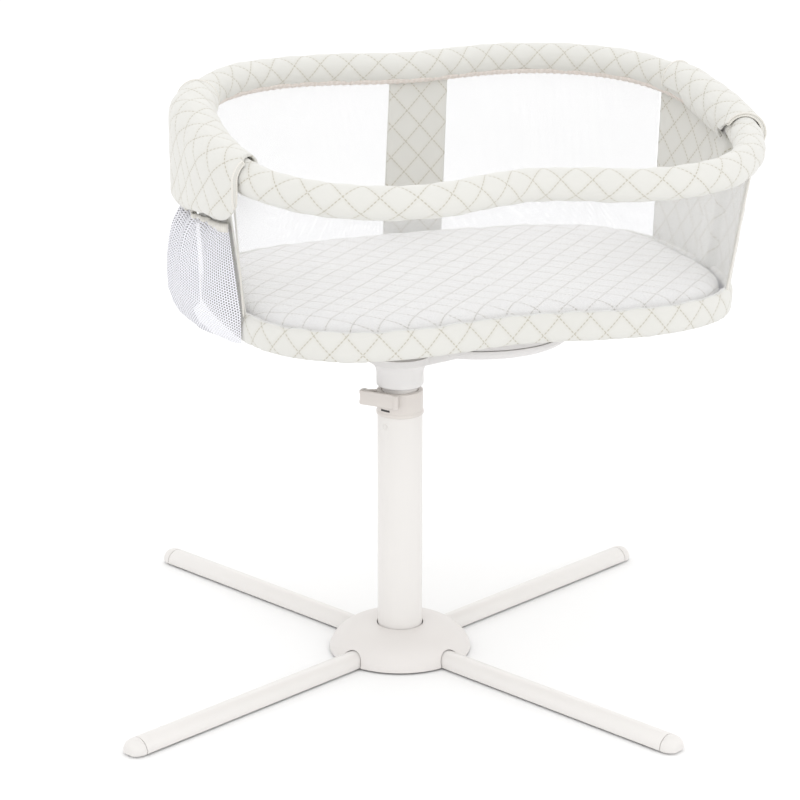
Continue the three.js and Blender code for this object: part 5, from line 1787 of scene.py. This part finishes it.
    def _blend(self, piece: bpy.types.Object, side: Side | None = None) -> None:
        """Bakes a piece's place into its mesh; the points it would stretch between, on the bed and the front
        rim, are worked out but not used.

        Args:
            piece: The piece.
            side: The end panel's side, or None for what hangs under the front rim.
        """
        shape = self.shape
        foot = np.array([0.0, -0.30, shape.band_top + 0.004])
        head = np.array([0.0, -0.30, shape.band_bottom + shape.front_rise - 0.028])
        if side:
            front = shape.panel_front(side)
            x = side.value * 0.42
            foot = np.array([x, shape.hinge_y - 0.036, float(shape.rim_height(shape.hinge_y)) - 0.09])
            head = np.array([x, front + 0.006, float(shape.rim_height(front)) - 0.030])
        tuple(shape.world(foot))
        tuple(shape.world(head))
        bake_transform(piece)

    def build(self) -> None:
        """Makes every wall."""
        shape = self.shape
        seam = 0.0006
        for side in Side:
            corner = shape.angles_at_y(shape.panel_rear + seam, side)
            middle = shape.angles_at_x(self.centre_x + side.value * (self.centre_width / 2 + seam))
            first, second = (corner, middle) if side is Side.RIGHT else (middle, corner)
            points, _ = self._surface((first[0], second[0]), (first[1], second[1]), 60, 30)
            flat, area = self._flat_size(points)
            piece = dress(
                self._net(f"rear_net_{side.word}", points),
                Finish.WALL_NET,
                "wall_net",
                "bed",
                f"rear_mesh_{side.word}",
            )
            LOG.info("%s flat %.3f x %.3f m, %.3f square m", piece.name, *flat, area)

            front, rear = shape.angles_at_y(shape.panel_front(side), side), shape.angles_at_y(
                shape.panel_rear, side
            )
            first, second = (front, rear) if side is Side.RIGHT else (rear, front)
            points, across = self._surface(
                (first[0], second[0]), (
                    first[1], second[1]
                ), 96, 60, 0.0055, lambda p: p[:, 2] - 0.024, 0.0030
            )
            piece = self._quilted(f"end_quilt_{side.word}", points, across, 0.012, self._sleeve(side, points))
            dress(piece, Finish.QUILT, "quilted_cotton", None, f"end_panel_{side.word}")
            self._blend(piece, side)

        right = shape.angles_at_x(self.centre_x + self.centre_width / 2)
        left = shape.angles_at_x(self.centre_x - self.centre_width / 2)
        points, across = self._surface((right[0], left[0]), (right[1], left[1]), 34, 84, inset=0.0030)
        piece = self._quilted("centre_quilt", points, across, 0.02)
        dress(piece, Finish.QUILT, "quilted_cotton", "bed", "centre_panel")

        left, right = (shape.angles_at_y(shape.panel_front(side) - seam, side) for side in Side)
        points, _ = self._surface((left[0], right[0] + TURN), (left[1], right[1] + TURN), 150, 34)
        flat, area = self._flat_size(points)
        piece = dress(self._net("front_net", points), Finish.WALL_NET, "wall_net", None, "front_mesh")
        self._blend(piece)
        LOG.info("front_net flat %.3f x %.3f m, %.3f square m", *flat, area)
        for side in Side:
            line = self._panel_edge(side, 0.0022)
            piece = piping(shape, f"front_piping_{side.word}", line, 0.0017)
            dress(piece, Finish.PIPING, "quilted_cotton", None)
            self._blend(piece)


@dataclass(frozen=True)
class PadShape:
    """Where one hinge pad ends at the front, and how it hangs."""

    rear: float
    taper: float
    front: float
    recede: float
    front_wrap: float
    bulge: float
    rise: float
    lift: float


@dataclass
class HingePads:
    """The padded covers over the two hinges, with corded edges."""

    shape: BedShape
    left: PadShape = PadShape(0.150, 0.060, -0.1854, -0.139, math.radians(60), 0.0126, 0.020, 0.013)
    right: PadShape = PadShape(0.102, 0.031, -0.1421, -0.111, math.radians(150), 0.006, 0.038, 0.040)
    channel: float = 0.0297
    wrap: float = math.radians(188)
    skirt: float = math.radians(42)
    skin: float = 0.004
    drop_height: float = 0.197
    hem: float = 0.018
    puff: float = 0.0013
    count: int = 120

    def _section(self, start: float, out: float, drop: float) -> tuple[np.ndarray, float]:
        """A pad's cross-section round the rim.

        Args:
            start: Angle where the cover begins, from outwards turning up.
            out: Rim's centre line to the outer face.
            drop: Depth of the outer flap below the rim's centre line.

        Returns:
            [outward, up] pairs, and the length from the first one to the outermost point.
        """
        end = math.radians(-5)
        turns = np.linspace(start, end, 14)
        inner = [(self.channel * math.cos(t), self.channel * math.sin(t)) for t in turns]
        inner += [(self.channel + 0.0004, -drop * 0.5), (self.channel + 0.0012, -drop + 0.007)]
        middle = (self.channel + out) / 2 + 0.001
        flap = [
            (middle - 0.002, -drop + 0.0015),
            (middle, -drop),
            (out - 0.002, -drop + 0.003),
            (out, -drop + 0.010),
        ]
        outer = []
        for t in turns[::-1]:
            bulge = max(math.cos(t), 0) * (out - self.channel - self.skin)
            radius = self.channel + self.skin + bulge
            outer.append((radius * math.cos(t), radius * math.sin(t)))
        ring = np.array(inner + flap + outer)
        spans = np.linalg.norm(np.diff(ring, axis=0), axis=1)
        return resample(np.concatenate([ring, ring[:1]]), self.count + 1)[:-1], float(
            spans[: len(inner + flap)].sum()
        )

    def _rings(self, side: Side) -> tuple[Path, Ring, np.ndarray]:
        """The pad's rings along the rim, and where the cloth's zero lies on each."""
        shape = self.shape
        pad = self.left if side is Side.LEFT else self.right
        angles = [shape.rim.angle_at_y(y, side) for y in (pad.front, pad.rear)]
        if side is Side.LEFT:
            angles = angles[::-1]
        path = shape.rim_path(angles[0], angles[1], 0.0030)
        bottom_front = shape.band_bottom + self.drop_height
        rings, zeros = [], []
        for point, outward in zip(path.points, path.outward):
            y = point[1]
            to_front = float(smooth_share(-y, -pad.recede, -pad.front))
            to_rear = float(smooth_share(y, pad.taper, pad.rear))
            inside = float(smooth_share(y, -0.100, -0.085) * (1 - smooth_share(y, 0.015, 0.05)))
            start = self.wrap + self.skirt * inside + (pad.front_wrap - self.wrap) * to_front
            full = self.channel + pad.bulge
            lead = full + (min(full, self.channel + 0.008) - full) * to_front
            out = lead + (self.channel + self.skin + 0.001 - lead) * to_rear
            corner = min(max(1 - (y - pad.front) / 0.045, 0.0), 1.0)
            bottom = bottom_front + pad.lift * float(smooth_share(-y, 0.0, 0.115))
            bottom = min(bottom + pad.rise * 1.2 * (1 - math.sqrt(1 - corner**2)), point[2] - 0.012)
            bottom += (point[2] - self.hem - bottom) * to_rear
            section, zero = self._section(start, out, point[2] - bottom)
            ring = point + outward * section[:, :1]
            ring[:, 2] = point[2] + section[:, 1]
            rings.append(ring)
            zeros.append(zero)
        return path, np.stack(rings), np.array(zeros)

    def build(self) -> None:
        """Makes the pads and their corded edges."""
        for side in Side:
            path, rings, zeros = self._rings(side)
            grid = ClothGrid(self.shape, rings, path.along)
            grid.v = grid.v - zeros[:, None]
            ends = np.minimum(np.arange(len(rings)), np.arange(len(rings))[::-1])
            mask = np.clip(ends / 4, 0, 1)[:, None]
            grid.crumple(22.0, 0.0026, mask).puff(self.puff, mask)
            final = grid.rings
            piece = grid.make(f"hinge_cover_{side.word}")
            dress(piece, Finish.QUILT, "quilted_cotton", "bed", f"hinge_pad_{side.word}")
            front, rear = (final[-1], final[0]) if side is Side.LEFT else (final[0], final[-1])
            for word, ring in (("front", front), ("rear", rear)):
                loop = np.concatenate([ring, ring[:1]])
                edge = piping(self.shape, f"pad_piping_{word}_{side.word}", resample(loop, 140), 0.0017)
                dress(edge, Finish.PIPING, "quilted_cotton", "bed")


@dataclass
class Pocket:
    """The gathered net pocket on the left end, with its elastic hem."""

    shape: BedShape
    front_y: float = -0.1225
    rear_y: float = 0.128
    gap: float = 0.0035
    levels: tuple[tuple[float, float], ...] = (
        (0.002, 0.022), (0.010, 0.042), (0.022, 0.054), (0.040, 0.064), (0.062, 0.069),
        (0.086, 0.067), (0.112, 0.062), (0.138, 0.054), (0.162, 0.044), (0.178, 0.033), (0.190, 0.022),
    )
    columns: int = 110
    rows: int = 70

    def _wall(self, y: np.ndarray, height: float) -> np.ndarray:
        """Outer face of the left end panel at a height."""
        shape = self.shape
        foot = np.array([shape.floor.at(np.array([shape.floor.angle_at_y(v, Side.LEFT)]))[0] for v in y])
        head = np.array([shape.rim_at(np.array([shape.rim.angle_at_y(v, Side.LEFT)]))[0] for v in y])
        top = head[:, 2] - shape.rim_radius - 0.001
        share = np.maximum((height - shape.band_top) / (top - shape.band_top), 0)
        x = foot[:, 0] + (head[:, 0] - 0.0055 - foot[:, 0]) * share
        return np.stack([x - 0.003 - self.gap, y, np.full(len(y), height)], -1)

    def _bag(self) -> np.ndarray:
        """The bag's outer sheet as [column, row, xyz], with vertical gathers."""
        rise = np.array([level[0] for level in self.levels])
        depth = np.array([level[1] for level in self.levels])
        heights = np.linspace(rise[0], rise[-1], self.rows)
        share = np.linspace(0, 1, self.columns)
        y = self.front_y + (self.rear_y - self.front_y) * share
        bulge = np.sin(math.pi * share) ** 0.5
        columns = []
        for rise_now in heights:
            reach = np.interp(rise_now, rise, depth)
            line = self._wall(y, self.shape.band_bottom + rise_now)
            up = (rise_now - rise[0]) / (rise[-1] - rise[0])
            folds = 0.0030 * np.sin(share * TURN * 9 + 1.1 * np.sin(up * 3.0)) * up**1.5
            folds += 0.0035 * np.sin(share * TURN * 3.3 + 2.0 - up * 1.4) * (0.35 + up)
            folds += 0.0016 * np.sin(share * TURN * 21 + 0.6) * up**4
            line[:, 0] -= (reach + folds) * bulge
            columns.append(line)
        return np.stack(columns, 1)

    def build(self) -> None:
        """Makes the pocket and its hem."""
        points = self._bag()
        middle = np.linalg.norm(np.diff(points[:, self.rows // 2], axis=0), axis=1)
        u = np.concatenate([[0.0], np.cumsum(middle)])
        piece = ClothGrid(self.shape, points, u, closed_round=False).make("pocket_net")
        dress(piece, Finish.POCKET_NET, "pocket_net", "bed", "pocket")
        top = points[:, -1]
        along = np.concatenate([[0.0], np.cumsum(np.linalg.norm(np.diff(top, axis=0), axis=1))])
        half = np.array(
            [
                (-0.0012, -0.007),
                (0.0014, -0.0065),
                (0.0022, 0.0),
                (0.0014, 0.0065),
                (-0.0012, 0.007),
                (-0.0018, 0.0),
            ],
        )
        direction = np.gradient(top, axis=0)
        outward = np.stack([direction[:, 1], -direction[:, 0], 0 * along], -1)
        outward /= np.linalg.norm(outward, axis=1, keepdims=True)
        outward *= -np.sign(outward[len(outward) // 2, 0])
        gathers = 1 + 0.35 * np.sin(along * TURN / 0.006) * np.sin(along * TURN / 0.031 + 1)
        rings = top[:, None, :] + outward[:, None, :] * (half[None, :, 0] * gathers[:, None])[..., None]
        rings[..., 2] += half[None, :, 1] - 0.004
        hem = ClothGrid(self.shape, rings, along).make("pocket_hem")
        dress(hem, Finish.PIPING, "pocket_net", "bed")


# ---------------------------------------------------------------- CAD nodes that stay


KEPT: dict[str, Finish] = {
    "base_plate": Finish.FRAME,
    "hub_core": Finish.FRAME,
    "foot_pad": Finish.RUBBER,
    "leg_screw": Finish.STEEL,
    "clamp_screw": Finish.STEEL,
    "lever_pin": Finish.STEEL,
    "tube_plug": Finish.ARM,
    "swivel_bolt": Finish.STEEL,
    "bearing_ring": Finish.ARM,
    "centre_bolt": Finish.STEEL,
    "base_board": Finish.BOARD,
    "frame_ring": Finish.FRAME,
    "rear_bar": Finish.FRAME,
    "front_bar": Finish.FRAME,
    "end_post": Finish.FRAME,
    "hinge_bracket": Finish.ARM,
    "hinge_pin": Finish.STEEL,
    "hinge_knuckle": Finish.FRAME,
    "hinge_spring": Finish.STEEL,
}


def dress_kept_nodes() -> None:
    """Gives the CAD nodes that stay in view their finishes."""
    for name, node in frame["nodes"].items():
        stem = next((key for key in sorted(KEPT, key=len, reverse=True) if name.startswith(key)), None)
        if stem:
            node.data.materials.clear()
            node.data.materials.append(material(KEPT[stem]))


# ---------------------------------------------------------------- studio


@dataclass
class Studio:
    """Floor, lights and camera."""

    camera_place: tuple[float, float, float] = (-0.0539, -3.7656, 1.5926)
    camera_turn: tuple[float, float, float] = (math.radians(72.76), 0.0, math.radians(-0.82))
    lens: float = 111.75
    sky: float = 1.17
    lights: tuple[tuple[str, tuple[float, float, float], tuple[float, float, float], float, float], ...] = (
        ("key_light", (-0.5, -3.3, 2.6), (0.05, 0.1, 0.5), 1.5, 7.0),
        ("fill_light", (2.4, -1.8, 1.8), (0.1, 0.1, 0.5), 2.0, 5.0),
        ("back_light", (0.3, 2.8, 2.2), (0.1, 0.1, 0.6), 2.0, 8.0),
    )

    def _floor(self) -> None:
        """A wide pale floor."""
        Bench.clear()
        bpy.ops.mesh.primitive_plane_add(size=60, location=(0, 0, -0.0002))
        floor = bpy.context.object
        floor.name = "studio_floor"
        shader = Shader("studio_floor")
        shader.constants(Base_Color=linear(247, 247, 247), Roughness=0.9, Specular_IOR_Level=0.0)
        floor.data.materials.append(shader.material)

    def build(self) -> None:
        """Sets up the studio."""
        self._floor()
        scene = bpy.context.scene
        world = bpy.data.worlds.new("studio")
        scene.world = world
        world.use_nodes = True
        world.node_tree.nodes["Background"].inputs[0].default_value = (1, 1, 1, 1)
        world.node_tree.nodes["Background"].inputs[1].default_value = self.sky
        for name, place, target, size, power in self.lights:
            lamp = bpy.data.lights.new(name, "AREA")
            lamp.size, lamp.energy = size, power
            lamp_object = bpy.data.objects.new(name, lamp)
            lamp_object.location = place
            lamp_object.rotation_euler = (Vector(target) - Vector(place)).to_track_quat("-Z", "Y").to_euler()
            scene.collection.objects.link(lamp_object)
        camera = bpy.data.objects.new("camera", bpy.data.cameras.new("camera"))
        camera.location, camera.rotation_euler = self.camera_place, self.camera_turn
        camera.data.lens, camera.data.sensor_width = self.lens, 36.0
        scene.collection.objects.link(camera)
        scene.camera = camera
        scene.view_settings.view_transform = "Standard"


def main() -> None:
    """Builds every sub-assembly in order."""
    logging.basicConfig(level=logging.INFO, format="%(name)s: %(message)s", force=True)
    Studio().build()
    shape = BedShape()
    dress_kept_nodes()
    Stand().build()
    Lever().build()
    Arm().build()
    Rims(shape).build()
    Band(shape).build()
    Mattress(shape).build()
    Walls(shape).build()
    HingePads(shape).build()
    Pocket(shape).build()
    Bench.clear()


if __name__ == "__main__":
    main()
